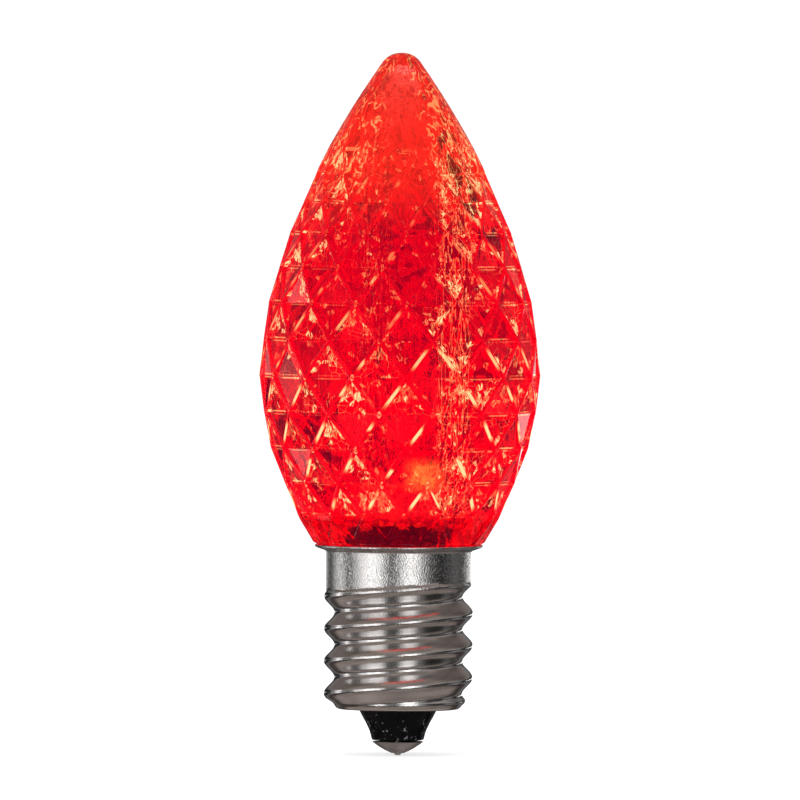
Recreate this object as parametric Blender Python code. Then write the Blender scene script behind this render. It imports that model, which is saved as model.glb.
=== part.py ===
"""Faceted red LED lamp on an E12 candelabra screw base, 55 mm tall.

The lens is one moulding: a flame-shaped envelope cut into a lattice of flat triangles, with a
fluted cavity inside and a neck that is glued into the shell. The shell is thin sheet with a
rolled thread. Below it are the insulator and the centre contact, and inside are three LEDs on a
round board, with a resistor and a rectifier diode hanging under it.

Metres, +Z up along the lamp's axis. The origin is the tip of the centre contact.
"""

import math

import bmesh
import bpy
from mathutils import Matrix, Vector

# Faces that meet at less than this angle are shaded as one curved surface
SMOOTH_ANGLE = math.radians(32)

# Clearances between neighbouring pieces
SEAT_GAP = 0.0003
FINE_GAP = 0.0001

# Centre contact and its solder
NUB_RADIUS = 0.00022
NUB_HEIGHT = 0.00018
NUB_SWELL = 1.15
PLUG_RADIUS = 0.0004
PLUG_HEIGHT = 0.0006
CAP_RADIUS = 0.00198
CAP_DOME = 0.00086
CAP_COLLAR = 0.00006
CAP_SHEET = 0.00022
CAP_CURVE = 0.006
CAP_RIM = 0.00042

# Insulator: the visible cone and the flange that the shell grips
CONE_HEIGHT = 0.00241
CONE_FOOT_RADIUS = 0.00203
CONE_TOP_RADIUS = 0.00309
FLANGE_WIDTH = 0.0011
FLANGE_HEIGHT = 0.0012
CONE_EDGE = 0.00012

# Screw shell: a right-hand rolled thread of ten turns to the inch
SHEET = 0.00025
THREAD_MAJOR_RADIUS = 0.00585
THREAD_DEPTH = 0.00082
THREAD_PITCH = 0.00254
THREAD_PHASE = 0.00505
THREADED_HEIGHT = 0.00959
THREAD_SHARPNESS = 1.3
ROWS_PER_TURN = 6.5
SKIRT_STEP = 0.00012
SKIRT_HEIGHT = 0.00286
SKIRT_LEAN = 0.00028
SKIRT_LEAN_ANGLE = math.radians(-47)
HEM_RADIUS = 0.0005
RUN_IN = 0.0005
RUN_OUT = 0.0006
FLARE_WIDTH = 0.00081
FLARE_HEIGHT = 0.0005

# Lens outside
LENS_HEIGHT = 0.0386
RIM_RADIUS = 0.00674
RIM_ANGLE = math.radians(31.5)
RIM_REACH = 0.0076
BELLY_RADIUS = 0.01114
BELLY_HEIGHT = 0.01294
BELLY_REACH_DOWN = 0.00151
BELLY_REACH_UP = 0.00564
POINT_REACH = 0.013
POINT_ANGLE = math.radians(35.1)
TIP_RADIUS = 0.00169
TIP_FLAT = 0.0001

# Facets
FACETS_AROUND = 16
FACET_ROWS = 12
FACETED_HEIGHT = 0.03125
FACET_TURN = math.radians(-8.6)
ROW_LIFT = 0.072
ROW_CROWDING = 0.225
POINT_START = 0.0008
EDGE_ROUNDING = 0.0002
RIB_WIDTH = 0.0006
RIB_HEIGHT = 0.00014
CREASE_DEPTH = 0.00016
POINTS_PER_FACET = 3

# Lens inside
NECK_WALL = 0.00083
NECK_LENGTH = 0.0022
LEDGE_WIDTH = 0.0006
LEDGE_HEIGHT = 0.0024
FLUTES = 24
FLUTE_DEPTH = 0.00016
CAVITY_DRAFT = 0.00035
CAVITY_STRAIGHT = 0.0225
TIP_WALL = 0.0014
CAVITY_TIP_RADIUS = 0.0007
CAVITY_TIP_FLAT = 0.00028

# Handles of the curve that closes the cavity, as shares of its rise and of its width
CAVITY_LOW_HANDLE = 0.33
CAVITY_HIGH_HANDLE = 0.28
CAVITY_HIGH_WIDTH = 0.3

# Board, LEDs and their leads
LED_COUNT = 3
BOARD_THICKNESS = 0.0008
LED_HEIGHT = 0.0044
LED_FLANGE_HEIGHT = 0.0007
LED_FLANGE_STEP = 0.00006
LED_LEAD_WIDTH = 0.0004
LED_LEAD_INSET = 0.0003
LED_SOCKET_DEPTH = 0.0008
LEAD_STUB = 0.0007
JOINT_HEIGHT = 0.00055
JOINT_WALL = 0.00015
JOINT_TOP_WALL = 0.00004
JOINT_MIDDLE_WALL = 0.00008

# Resistor, diode and their wires
WIRE_RADIUS = 0.00025
RESISTOR_RADIUS = 0.00115
RESISTOR_LENGTH = 0.006
RESISTOR_DROP = 0.0034
RESISTOR_WAIST_RADIUS = 0.00097
RESISTOR_END_RADIUS = 0.0007
RESISTOR_SHOULDER = 0.0004
RESISTOR_CAP_LENGTH = 0.001
DIODE_RADIUS = 0.0013
DIODE_LENGTH = 0.0048
DIODE_DROP = 0.0036
DIODE_CHAMFER = 0.00016
COMPONENT_CLEARANCE = 0.0004
RESISTOR_ANGLE = 0.0
DIODE_ANGLE = math.radians(120)
SIDE_JOINT_RADIUS = 0.0005
SIDE_JOINT_DEPTH = 0.00018
SIDE_JOINT_DROP = 0.002
BEAD_HEIGHT = 0.0008
BEAD_WIDTH = 0.0004

# Heights and radii that follow from the sizes above
CAP_EDGE_Z = NUB_HEIGHT + CAP_DOME
CAP_TOP_Z = CAP_EDGE_Z + CAP_COLLAR
CONE_FOOT_Z = CAP_TOP_Z + FINE_GAP
SHELL_FOOT_Z = CONE_FOOT_Z + CONE_HEIGHT
THREAD_TOP_Z = SHELL_FOOT_Z + THREADED_HEIGHT
FLARE_Z = THREAD_TOP_Z + SKIRT_HEIGHT
RIM_Z = FLARE_Z + FLARE_HEIGHT
THREAD_ROOT_RADIUS = THREAD_MAJOR_RADIUS - THREAD_DEPTH
SKIRT_RADIUS = THREAD_MAJOR_RADIUS - SKIRT_STEP
NECK_RADIUS = SKIRT_RADIUS - SHEET - SEAT_GAP
BORE_RADIUS = NECK_RADIUS - NECK_WALL
CAVITY_RADIUS = BORE_RADIUS - LEDGE_WIDTH
NECK_END_Z = FLARE_Z - NECK_LENGTH
LEDGE_Z = RIM_Z + LEDGE_HEIGHT
LENS_TOP_Z = RIM_Z + LENS_HEIGHT
BOARD_RADIUS = BORE_RADIUS - SEAT_GAP
BOARD_TOP_Z = LEDGE_Z - SEAT_GAP
BOARD_FOOT_Z = BOARD_TOP_Z - BOARD_THICKNESS
LED_FOOT_Z = BOARD_TOP_Z + FINE_GAP
LEAD_HOLE_RADIUS = LED_LEAD_WIDTH / math.sqrt(2) + FINE_GAP

# Three round flanges that touch each other and the cavity, less the clearances, have this radius.
LED_FLANGE_RADIUS = (
    math.sqrt(3) * (CAVITY_RADIUS - FLUTE_DEPTH / 2 - SEAT_GAP) - FINE_GAP
) / (2 + math.sqrt(3))
LED_RADIUS = LED_FLANGE_RADIUS - LED_FLANGE_STEP
LED_CIRCLE_RADIUS = CAVITY_RADIUS - FLUTE_DEPTH / 2 - SEAT_GAP - LED_FLANGE_RADIUS
LED_LEAD_OFFSET = LED_RADIUS - LED_LEAD_INSET - LED_LEAD_WIDTH / 2
COMPONENT_CIRCLE_RADIUS = BORE_RADIUS - COMPONENT_CLEARANCE - DIODE_RADIUS


def clear_scene():
    for obj in list(bpy.data.objects):
        bpy.data.objects.remove(obj, do_unlink=True)


def material(name, color, roughness, metallic=0.0, transmission=0.0):
    made = bpy.data.materials.new(name)
    made.use_nodes = True
    made.diffuse_color = color
    shader = made.node_tree.nodes["Principled BSDF"]
    shader.inputs["Base Color"].default_value = color
    shader.inputs["Roughness"].default_value = roughness
    shader.inputs["Metallic"].default_value = metallic
    shader.inputs["Transmission Weight"].default_value = transmission
    return made


def finished(name, bm, surface, flat=None):
    """Makes an object with outward faces, smooth except where flat(face) says otherwise."""
    bmesh.ops.recalc_face_normals(bm, faces=bm.faces)
    smooth = [flat is None or not flat(face) for face in bm.faces]
    mesh = bpy.data.meshes.new(name)
    bm.to_mesh(mesh)
    bm.free()
    mesh.materials.append(surface)
    mesh.set_sharp_from_angle(angle=SMOOTH_ANGLE)
    mesh.polygons.foreach_set("use_smooth", smooth)
    obj = bpy.data.objects.new(name, mesh)
    bpy.context.collection.objects.link(obj)
    return obj


def turned(outline, steps):
    """Spins an outline of (radius, height) points about the Z axis.

    An outline that starts and ends on the axis stays open, and any other one is closed to a ring.
    """
    bm = bmesh.new()
    points = [bm.verts.new((radius, 0, height)) for radius, height in outline]
    on_axis = outline[0][0] == 0 and outline[-1][0] == 0
    edges = [bm.edges.new(pair) for pair in zip(points, points[1:])]
    if not on_axis:
        edges.append(bm.edges.new((points[-1], points[0])))
    bmesh.ops.spin(
        bm,
        geom=points + edges,
        cent=(0, 0, 0),
        axis=(0, 0, 1),
        angle=math.tau,
        steps=steps,
        use_merge=True,
    )
    bmesh.ops.remove_doubles(bm, verts=bm.verts, dist=1e-7)
    return bm


def arc(centre, radius, start, end, count):
    """Points on an arc from one angle to another, with both ends."""
    angles = [start + (end - start) * i / count for i in range(count + 1)]
    return [
        (centre[0] + radius * math.cos(a), centre[1] + radius * math.sin(a))
        for a in angles
    ]


def bezier(a, b, c, d, count):
    """Points on a cubic Bezier curve in (radius, height), with both ends."""
    points = []
    for i in range(count + 1):
        t = i / count
        s = 1 - t
        weights = (s * s * s, 3 * s * s * t, 3 * s * t * t, t * t * t)
        points.append(
            tuple(
                sum(w * p[k] for w, p in zip(weights, (a, b, c, d))) for k in (0, 1)
            )
        )
    return points


def arc_between(low, high, radius, count):
    """Points on an arc that bulges down and out, from its high end in to its low end."""
    across = (high[0] - low[0], high[1] - low[1])
    chord = math.hypot(*across)
    reach = math.sqrt(radius**2 - chord**2 / 4) / chord
    centre = (
        (low[0] + high[0]) / 2 - across[1] * reach,
        (low[1] + high[1]) / 2 + across[0] * reach,
    )
    start, end = (
        math.atan2(point[1] - centre[1], point[0] - centre[0]) for point in (high, low)
    )
    return arc(centre, radius, start, end, count)


def smoothstep(x):
    x = min(max(x, 0.0), 1.0)
    return x * x * (3 - 2 * x)


# The contact and the insulator


def contact_cap(surface):
    """A dished metal cap with a hole in the middle for the solder."""
    hole = PLUG_RADIUS + FINE_GAP
    edge = (CAP_RADIUS, CAP_EDGE_Z)
    inner_edge = (CAP_RADIUS - CAP_RIM, CAP_TOP_Z)
    outside = arc_between((hole, NUB_HEIGHT), edge, CAP_CURVE, 4)
    inside = arc_between((hole, NUB_HEIGHT + CAP_SHEET), inner_edge, CAP_CURVE, 4)
    outline = [(CAP_RADIUS, CAP_TOP_Z)] + outside + inside[::-1]
    return finished("contact_cap", turned(outline, 28), surface)


def solder_tip(surface):
    """A plug of solder in the contact's hole, drawn down to a small flat nub."""
    outline = [
        (0, 0),
        (NUB_RADIUS, 0),
        (NUB_RADIUS * NUB_SWELL, NUB_HEIGHT / 2),
        (PLUG_RADIUS, NUB_HEIGHT),
        (PLUG_RADIUS, PLUG_HEIGHT),
        (0, PLUG_HEIGHT),
    ]
    return finished("solder_tip", turned(outline, 20), surface)


def base_insulator(surface):
    """A cone below the shell, a waist through its turned-in edge and a flange above the edge."""
    hole = WIRE_RADIUS + SEAT_GAP
    flange_z = SHELL_FOOT_Z + SHEET + FINE_GAP
    flange_radius = CONE_TOP_RADIUS + FLANGE_WIDTH
    slope = (CONE_TOP_RADIUS - CONE_FOOT_RADIUS) / CONE_HEIGHT
    outline = [
        (hole, CONE_FOOT_Z),
        (CONE_FOOT_RADIUS - CONE_EDGE, CONE_FOOT_Z),
        (CONE_FOOT_RADIUS + slope * CONE_EDGE, CONE_FOOT_Z + CONE_EDGE),
        (CONE_TOP_RADIUS, SHELL_FOOT_Z),
        (CONE_TOP_RADIUS, flange_z),
        (flange_radius, flange_z),
        (flange_radius, flange_z + FLANGE_HEIGHT),
        (hole, flange_z + FLANGE_HEIGHT),
    ]
    return finished("base_insulator", turned(outline, 36), surface)


# The screw shell


def thread_rise(angle, height):
    """How far the rolled thread stands above its root at a place on the wall."""
    turn = (height - SHELL_FOOT_Z - THREAD_PHASE) / THREAD_PITCH - angle / math.tau
    wave = (0.5 + 0.5 * math.cos(math.tau * turn)) ** THREAD_SHARPNESS
    return THREAD_DEPTH * wave


def run_in(height):
    """0 below the lowest turn and 1 where the thread has its full depth."""
    return smoothstep((height - SHELL_FOOT_Z - HEM_RADIUS) / RUN_IN)


def run_out(angle, height):
    """0 in the thread and 1 in the plain skirt, whose lower edge leans with the thread."""
    edge = THREAD_TOP_Z + SKIRT_LEAN * math.cos(angle - SKIRT_LEAN_ANGLE)
    return smoothstep((height - edge + RUN_OUT) / RUN_OUT)


def flare_inside():
    """The foot and the top of the flare's inner face, as radius and height."""
    lean = math.atan2(FLARE_HEIGHT, FLARE_WIDTH)
    foot = (SKIRT_RADIUS - SHEET, FLARE_Z + SHEET * math.tan(lean / 2))
    return foot, (SKIRT_RADIUS + FLARE_WIDTH - SHEET * math.sin(lean), RIM_Z)


def screw_shell(surface):
    """Thin sheet from the turned-in edge up the thread and the skirt to the flared rim."""
    hem_centre = (THREAD_ROOT_RADIUS - HEM_RADIUS, SHELL_FOOT_Z + HEM_RADIUS)
    hem_hole = CONE_TOP_RADIUS + FINE_GAP
    skirt_rise = SKIRT_RADIUS - THREAD_ROOT_RADIUS
    flare_foot, flare_top = flare_inside()
    lip_z = RIM_Z - SHEET * math.cos(math.atan2(FLARE_HEIGHT, FLARE_WIDTH))

    foot = SHELL_FOOT_Z + HEM_RADIUS
    rise = THREAD_TOP_Z + SKIRT_LEAN - foot
    rows = round(rise / THREAD_PITCH * ROWS_PER_TURN)
    wall_heights = [foot + rise * i / rows for i in range(1, rows + 1)]

    outside = [(hem_hole, SHELL_FOOT_Z)]
    outside += arc(hem_centre, HEM_RADIUS, -math.pi / 2, 0, 3)
    outside += [(THREAD_ROOT_RADIUS, z) for z in wall_heights]
    outside += [
        (THREAD_ROOT_RADIUS, FLARE_Z),
        (THREAD_ROOT_RADIUS + FLARE_WIDTH, lip_z),
    ]
    inside = [(hem_hole, SHELL_FOOT_Z + SHEET)]
    inside += arc(hem_centre, HEM_RADIUS - SHEET, -math.pi / 2, 0, 2)
    inside += [(THREAD_ROOT_RADIUS - SHEET, z) for z in wall_heights]
    inside += [
        (flare_foot[0] - skirt_rise, flare_foot[1]),
        (flare_top[0] - skirt_rise, flare_top[1]),
    ]
    bm = turned(outside + inside[::-1], 36)
    for vert in bm.verts:
        radius = vert.co.xy.length
        height = vert.co.z
        if height < SHELL_FOOT_Z + HEM_RADIUS / 2:
            continue
        angle = math.atan2(vert.co.y, vert.co.x)
        plain = run_out(angle, height)
        rise = thread_rise(angle, height) * run_in(height) * (1 - plain)
        vert.co.xy *= (radius + rise + skirt_rise * plain) / radius
    return finished("screw_shell", bm, surface)


# The lens


def lens_curve():
    """The envelope of the lens from the rim to the top, as radius and height."""
    top = (TIP_FLAT, LENS_TOP_Z)
    tip_centre = (TIP_FLAT, LENS_TOP_Z - TIP_RADIUS)
    rim = (RIM_RADIUS, RIM_Z)
    belly = (BELLY_RADIUS, RIM_Z + BELLY_HEIGHT)
    point = arc(tip_centre, TIP_RADIUS, POINT_ANGLE, POINT_ANGLE, 1)[0]
    rim_handle = (
        rim[0] + RIM_REACH * math.sin(RIM_ANGLE),
        rim[1] + RIM_REACH * math.cos(RIM_ANGLE),
    )
    belly_low = (belly[0], belly[1] - BELLY_REACH_DOWN)
    belly_high = (belly[0], belly[1] + BELLY_REACH_UP)
    point_handle = (
        point[0] + POINT_REACH * math.sin(POINT_ANGLE),
        point[1] - POINT_REACH * math.cos(POINT_ANGLE),
    )
    curve = bezier(rim, rim_handle, belly_low, belly, 60)[:-1]
    curve += bezier(belly, belly_high, point_handle, point, 80)[:-1]
    curve += arc(tip_centre, TIP_RADIUS, POINT_ANGLE, math.pi / 2, 6)[:-1]
    return curve + [top]


def radius_at(curve, height):
    """The radius of the envelope at a height."""
    for (r0, z0), (r1, z1) in zip(curve, curve[1:]):
        if z0 <= height < z1:
            return r0 + (r1 - r0) * (height - z0) / (z1 - z0)
    return curve[-1][0]


def facet_rows(curve):
    """The rings of the lattice. They are tallest at the belly and crowd together at both ends."""
    rows = []
    for i in range(FACET_ROWS + 1):
        t = i / FACET_ROWS
        bow = t * (1 - t)
        share = t + bow * (ROW_LIFT - ROW_CROWDING * (1 - 2 * t))
        height = RIM_Z + FACETED_HEIGHT * share
        rows.append((radius_at(curve, height), height))
    return rows


def next_ring(bm, ring, radius, height, turn=0.0):
    """Extrudes a ring of edges to a new radius and height and gives back the new ring."""
    verts = {v for edge in ring for v in edge.verts}
    old_radius = max(v.co.xy.length for v in verts)
    old_height = next(iter(verts)).co.z
    made = bmesh.ops.extrude_edge_only(bm, edges=ring)["geom"]
    moved = [g for g in made if isinstance(g, bmesh.types.BMVert)]
    new = set(moved)
    edges = [
        g for g in made if isinstance(g, bmesh.types.BMEdge) and new.issuperset(g.verts)
    ]
    share = radius / old_radius
    bmesh.ops.scale(bm, vec=(share, share, 1), verts=moved)
    bmesh.ops.rotate(bm, matrix=Matrix.Rotation(turn, 3, "Z"), verts=moved)
    bmesh.ops.translate(bm, vec=(0, 0, height - old_height), verts=moved)
    return edges


def rounded_ring(bm, ring, cuts, radius):
    """Divides each edge of an open ring, moves its points out to a circle and gives the ring back."""
    height = ring[0].verts[0].co.z
    bmesh.ops.subdivide_edges(bm, edges=ring, cuts=cuts)
    found = [
        e
        for e in bm.edges
        if e.is_boundary and all(abs(v.co.z - height) < 1e-7 for v in e.verts)
    ]
    for vert in {v for edge in found for v in edge.verts}:
        vert.co.xy *= radius / vert.co.xy.length
    return found


def shape_flutes(ring, radius, depth):
    """Moves a ring's points in and out to a wave of flutes about its radius."""
    for vert in {v for edge in ring for v in edge.verts}:
        angle = math.atan2(vert.co.y, vert.co.x) - FACET_TURN
        wave = radius + depth / 2 * math.cos(FLUTES * angle)
        vert.co.xy *= wave / vert.co.xy.length


def cavity_curve():
    """The cavity above its straight part, up to its rounded top, as radius and height."""
    foot = (CAVITY_RADIUS - CAVITY_DRAFT, LEDGE_Z + CAVITY_STRAIGHT)
    top_z = LENS_TOP_Z - TIP_WALL
    tip = (CAVITY_TIP_RADIUS, top_z - CAVITY_TIP_RADIUS / 2)
    rise = tip[1] - foot[1]
    curve = bezier(
        foot,
        (foot[0] - CAVITY_DRAFT, foot[1] + rise * CAVITY_LOW_HANDLE),
        (tip[0] + foot[0] * CAVITY_HIGH_WIDTH, tip[1] - rise * CAVITY_HIGH_HANDLE),
        tip,
        5,
    )
    return curve, (CAVITY_TIP_FLAT, top_z)


def sink_pairs(bm, facets):
    """Sinks each pair of triangles over a level edge, so that ribs stand between the pairs.

    The level edge itself goes deeper and becomes a crease. The half pairs at both ends stay.
    """
    left = set(facets)
    while left:
        face = left.pop()
        pair = [face]
        for edge in face.edges:
            level = abs(edge.verts[0].co.z - edge.verts[1].co.z) < 1e-6
            pair += [other for other in edge.link_faces if level and other in left]
        left.difference_update(pair)
        if len(pair) == 1:
            continue
        bmesh.ops.inset_region(
            bm,
            faces=pair,
            thickness=RIB_WIDTH / 2,
            depth=-RIB_HEIGHT,
            use_even_offset=True,
            use_boundary=True,
        )
        for vert in set(pair[0].verts) & set(pair[1].verts):
            vert.co.xy *= 1 - CREASE_DEPTH / vert.co.xy.length


def lens(surface):
    curve = lens_curve()
    rows = facet_rows(curve)
    half_facet = math.pi / FACETS_AROUND
    bm = bmesh.new()
    bmesh.ops.create_circle(
        bm,
        segments=FACETS_AROUND,
        radius=rows[0][0],
        matrix=Matrix.Translation((0, 0, rows[0][1]))
        @ Matrix.Rotation(FACET_TURN, 4, "Z"),
    )
    rim_ring = list(bm.edges)
    ring = rim_ring
    for radius, height in rows[1:]:
        ring = next_ring(bm, ring, radius, height, half_facet)
    bmesh.ops.triangulate(bm, faces=bm.faces, quad_method="SHORT_EDGE")
    facets = list(bm.faces)
    ridges = [e for e in bm.edges if abs(e.verts[0].co.z - e.verts[1].co.z) > 1e-6]

    # The smooth point of the flame grows from the top row
    cuts = POINTS_PER_FACET - 1
    ring = rounded_ring(bm, ring, cuts, rows[-1][0])
    point = [p for p in curve if p[1] > rows[-1][1] + POINT_START]
    for radius, height in point[:-6:8] + point[-6:]:
        ring = next_ring(bm, ring, radius, height)
    bmesh.ops.edgeloop_fill(bm, edges=ring)

    # The shoulder lies along the flare, and the neck goes down inside the skirt
    foot, top = flare_inside()
    slope = (top[1] - foot[1]) / (top[0] - foot[0])
    lift = FINE_GAP * math.hypot(1, slope)
    ring = rounded_ring(bm, rim_ring, cuts, rows[0][0])
    for vert in {v for edge in ring for v in edge.verts}:
        vert.co.z = top[1] + lift + slope * (RIM_RADIUS - top[0])
    shoulder_z = foot[1] + lift - slope * (foot[0] - NECK_RADIUS)
    ring = next_ring(bm, ring, NECK_RADIUS, shoulder_z)
    ring = next_ring(bm, ring, NECK_RADIUS, NECK_END_Z)

    # The bore holds the board against its ledge, and the fluted cavity goes on to the point
    ring = next_ring(bm, ring, BORE_RADIUS, NECK_END_Z)
    ring = next_ring(bm, ring, BORE_RADIUS, LEDGE_Z)
    ring = rounded_ring(bm, ring, 1, BORE_RADIUS)
    ring = next_ring(bm, ring, CAVITY_RADIUS, LEDGE_Z)
    shape_flutes(ring, CAVITY_RADIUS, FLUTE_DEPTH)
    upper, tip = cavity_curve()
    for i, (radius, height) in enumerate(upper):
        fade = 1 - i / (len(upper) - 1)
        ring = next_ring(bm, ring, radius, height)
        shape_flutes(ring, radius, FLUTE_DEPTH * fade)
    ring = next_ring(bm, ring, tip[0], tip[1])
    bmesh.ops.edgeloop_fill(bm, edges=ring)

    # The facets sink between ribs with rounded tops
    bmesh.ops.recalc_face_normals(bm, faces=bm.faces)
    sink_pairs(bm, facets)
    bmesh.ops.bevel(
        bm,
        geom=ridges,
        affect="EDGES",
        offset=EDGE_ROUNDING,
        segments=1,
        profile=0.5,
        material=-1,
    )

    def is_facet(face):
        middle = face.calc_center_median()
        return middle.xy.length > BORE_RADIUS and RIM_Z < middle.z < rows[-1][1]

    return finished("lens", bm, surface, is_facet)


# Inside the lens and the base


def rod(name, points, radius, surface):
    """A round wire through a few points, with its bends smoothed and its ends closed."""
    curve = bpy.data.curves.new(name, "CURVE")
    curve.dimensions = "3D"
    curve.bevel_depth = radius
    curve.bevel_resolution = 2
    curve.use_fill_caps = True
    spline = curve.splines.new("POLY")
    path = [points[0]]
    for before, corner, after in zip(points, points[1:], points[2:]):
        path += bend(before, corner, after)
    path.append(points[-1])
    spline.points.add(len(path) - 1)
    for place, point in zip(path, spline.points):
        point.co = (*place, 1)
    curve.materials.append(surface)
    obj = bpy.data.objects.new(name, curve)
    bpy.context.collection.objects.link(obj)
    return obj


def bend(before, corner, after):
    """Five points that round a wire's corner, on a curve between the middles of its two legs."""
    start = before.lerp(corner, 0.5)
    end = corner.lerp(after, 0.5)
    steps = [i / 4 for i in range(5)]
    return [start.lerp(corner, t).lerp(corner.lerp(end, t), t) for t in steps]


def cut_holes(obj, places, radius, foot, top, steps):
    """Cuts round upright holes through an object with one joined cutter."""
    bm = bmesh.new()
    for x, y in places:
        bmesh.ops.create_cone(
            bm,
            cap_ends=True,
            segments=steps,
            radius1=radius,
            radius2=radius,
            depth=top - foot,
            matrix=Matrix.Translation((x, y, (top + foot) / 2)),
        )
    mesh = bpy.data.meshes.new(obj.name + "_cutter")
    bm.to_mesh(mesh)
    bm.free()
    cutter = bpy.data.objects.new(obj.name + "_cutter", mesh)
    bpy.context.collection.objects.link(cutter)
    cutter.hide_render = True
    cutter.display_type = "WIRE"
    holes = obj.modifiers.new("holes", "BOOLEAN")
    holes.operation = "DIFFERENCE"
    holes.object = cutter


def outward(angle):
    """The unit vector that points away from the axis at an angle."""
    return Vector((math.cos(angle), math.sin(angle), 0))


def led_centre(index):
    angle = math.tau * (index + 0.5) / LED_COUNT
    return outward(angle) * LED_CIRCLE_RADIUS


def lead_places(index):
    """Where the two leads of an LED go through the board, side by side across its radius."""
    centre = led_centre(index)
    across = Vector((-centre.y, centre.x, 0)).normalized() * LED_LEAD_OFFSET
    return {"anode": centre + across, "cathode": centre - across}


def resistor_place():
    return outward(RESISTOR_ANGLE) * COMPONENT_CIRCLE_RADIUS


def diode_place():
    return outward(DIODE_ANGLE) * COMPONENT_CIRCLE_RADIUS


def led_board(surface):
    """A round board with a hole for every lead that it carries."""
    outline = [
        (0, BOARD_FOOT_Z),
        (BOARD_RADIUS, BOARD_FOOT_Z),
        (BOARD_RADIUS, BOARD_TOP_Z),
        (0, BOARD_TOP_Z),
    ]
    board = finished("led_board", turned(outline, 40), surface)
    places = [resistor_place().xy, diode_place().xy]
    for index in range(LED_COUNT):
        places += [place.xy for place in lead_places(index).values()]
    margin = BOARD_THICKNESS / 2
    cut_holes(
        board, places, LEAD_HOLE_RADIUS, BOARD_FOOT_Z - margin, BOARD_TOP_Z + margin, 10
    )
    return board


def led(index, surface):
    """A round LED: a flange, a short barrel and a dome, with sockets for its leads."""
    dome_z = LED_FOOT_Z + LED_HEIGHT - LED_RADIUS
    outline = [
        (0, LED_FOOT_Z),
        (LED_FLANGE_RADIUS, LED_FOOT_Z),
        (LED_FLANGE_RADIUS, LED_FOOT_Z + LED_FLANGE_HEIGHT),
        (LED_RADIUS, LED_FOOT_Z + LED_FLANGE_HEIGHT),
    ]
    dome = arc((0, dome_z), LED_RADIUS, 0, math.pi / 2, 4)
    outline += dome[:-1] + [(0, dome_z + LED_RADIUS)]
    bm = turned(outline, 18)
    bmesh.ops.translate(bm, vec=led_centre(index), verts=bm.verts)
    body = finished(f"led_{index + 1}", bm, surface)
    places = [place.xy for place in lead_places(index).values()]
    below = LED_FOOT_Z - LED_SOCKET_DEPTH
    cut_holes(
        body, places, LEAD_HOLE_RADIUS, below, LED_FOOT_Z + LED_SOCKET_DEPTH, 8
    )
    return body


def led_lead(name, place, surface):
    """A square lead from inside the LED to just below the board."""
    top = LED_FOOT_Z + LED_SOCKET_DEPTH - FINE_GAP
    foot = BOARD_FOOT_Z - LEAD_STUB
    bm = bmesh.new()
    bmesh.ops.create_cube(bm, size=1)
    bmesh.ops.scale(
        bm, vec=(LED_LEAD_WIDTH, LED_LEAD_WIDTH, top - foot), verts=bm.verts
    )
    turn = Matrix.Rotation(math.atan2(place.y, place.x), 3, "Z")
    bmesh.ops.rotate(bm, matrix=turn, verts=bm.verts)
    bmesh.ops.translate(bm, vec=(place.x, place.y, (top + foot) / 2), verts=bm.verts)
    return finished(name, bm, surface)


def board_joint(name, place, lead_radius, surface):
    """A cone of solder under the board around one lead."""
    hole = lead_radius + FINE_GAP
    top = BOARD_FOOT_Z - FINE_GAP
    outline = [
        (hole, top - JOINT_HEIGHT),
        (hole + JOINT_TOP_WALL, top - JOINT_HEIGHT),
        (hole + JOINT_MIDDLE_WALL, top - JOINT_HEIGHT / 2),
        (hole + JOINT_WALL, top),
        (hole, top),
    ]
    bm = turned(outline, 10)
    bmesh.ops.translate(bm, vec=(place.x, place.y, 0), verts=bm.verts)
    return finished(name, bm, surface)


def resistor(surface):
    """A barrel with a swollen cap at each end, standing under the board."""
    top = BOARD_FOOT_Z - RESISTOR_DROP
    outline = [
        (0, top),
        (RESISTOR_END_RADIUS, top),
        (RESISTOR_RADIUS, top - RESISTOR_SHOULDER),
        (RESISTOR_RADIUS, top - RESISTOR_CAP_LENGTH),
        (RESISTOR_WAIST_RADIUS, top - RESISTOR_CAP_LENGTH - RESISTOR_SHOULDER),
    ]
    foot = top - RESISTOR_LENGTH
    outline += [(radius, top + foot - z) for radius, z in outline[::-1]]
    bm = turned(outline, 16)
    bmesh.ops.translate(bm, vec=resistor_place(), verts=bm.verts)
    return finished("resistor", bm, surface)


def diode(surface):
    """A short moulded cylinder with chamfered ends."""
    top = BOARD_FOOT_Z - DIODE_DROP
    foot = top - DIODE_LENGTH
    outline = [
        (0, top),
        (DIODE_RADIUS - DIODE_CHAMFER, top),
        (DIODE_RADIUS, top - DIODE_CHAMFER),
        (DIODE_RADIUS, foot + DIODE_CHAMFER),
        (DIODE_RADIUS - DIODE_CHAMFER, foot),
        (0, foot),
    ]
    bm = turned(outline, 16)
    bmesh.ops.translate(bm, vec=diode_place(), verts=bm.verts)
    return finished("diode", bm, surface)


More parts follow.
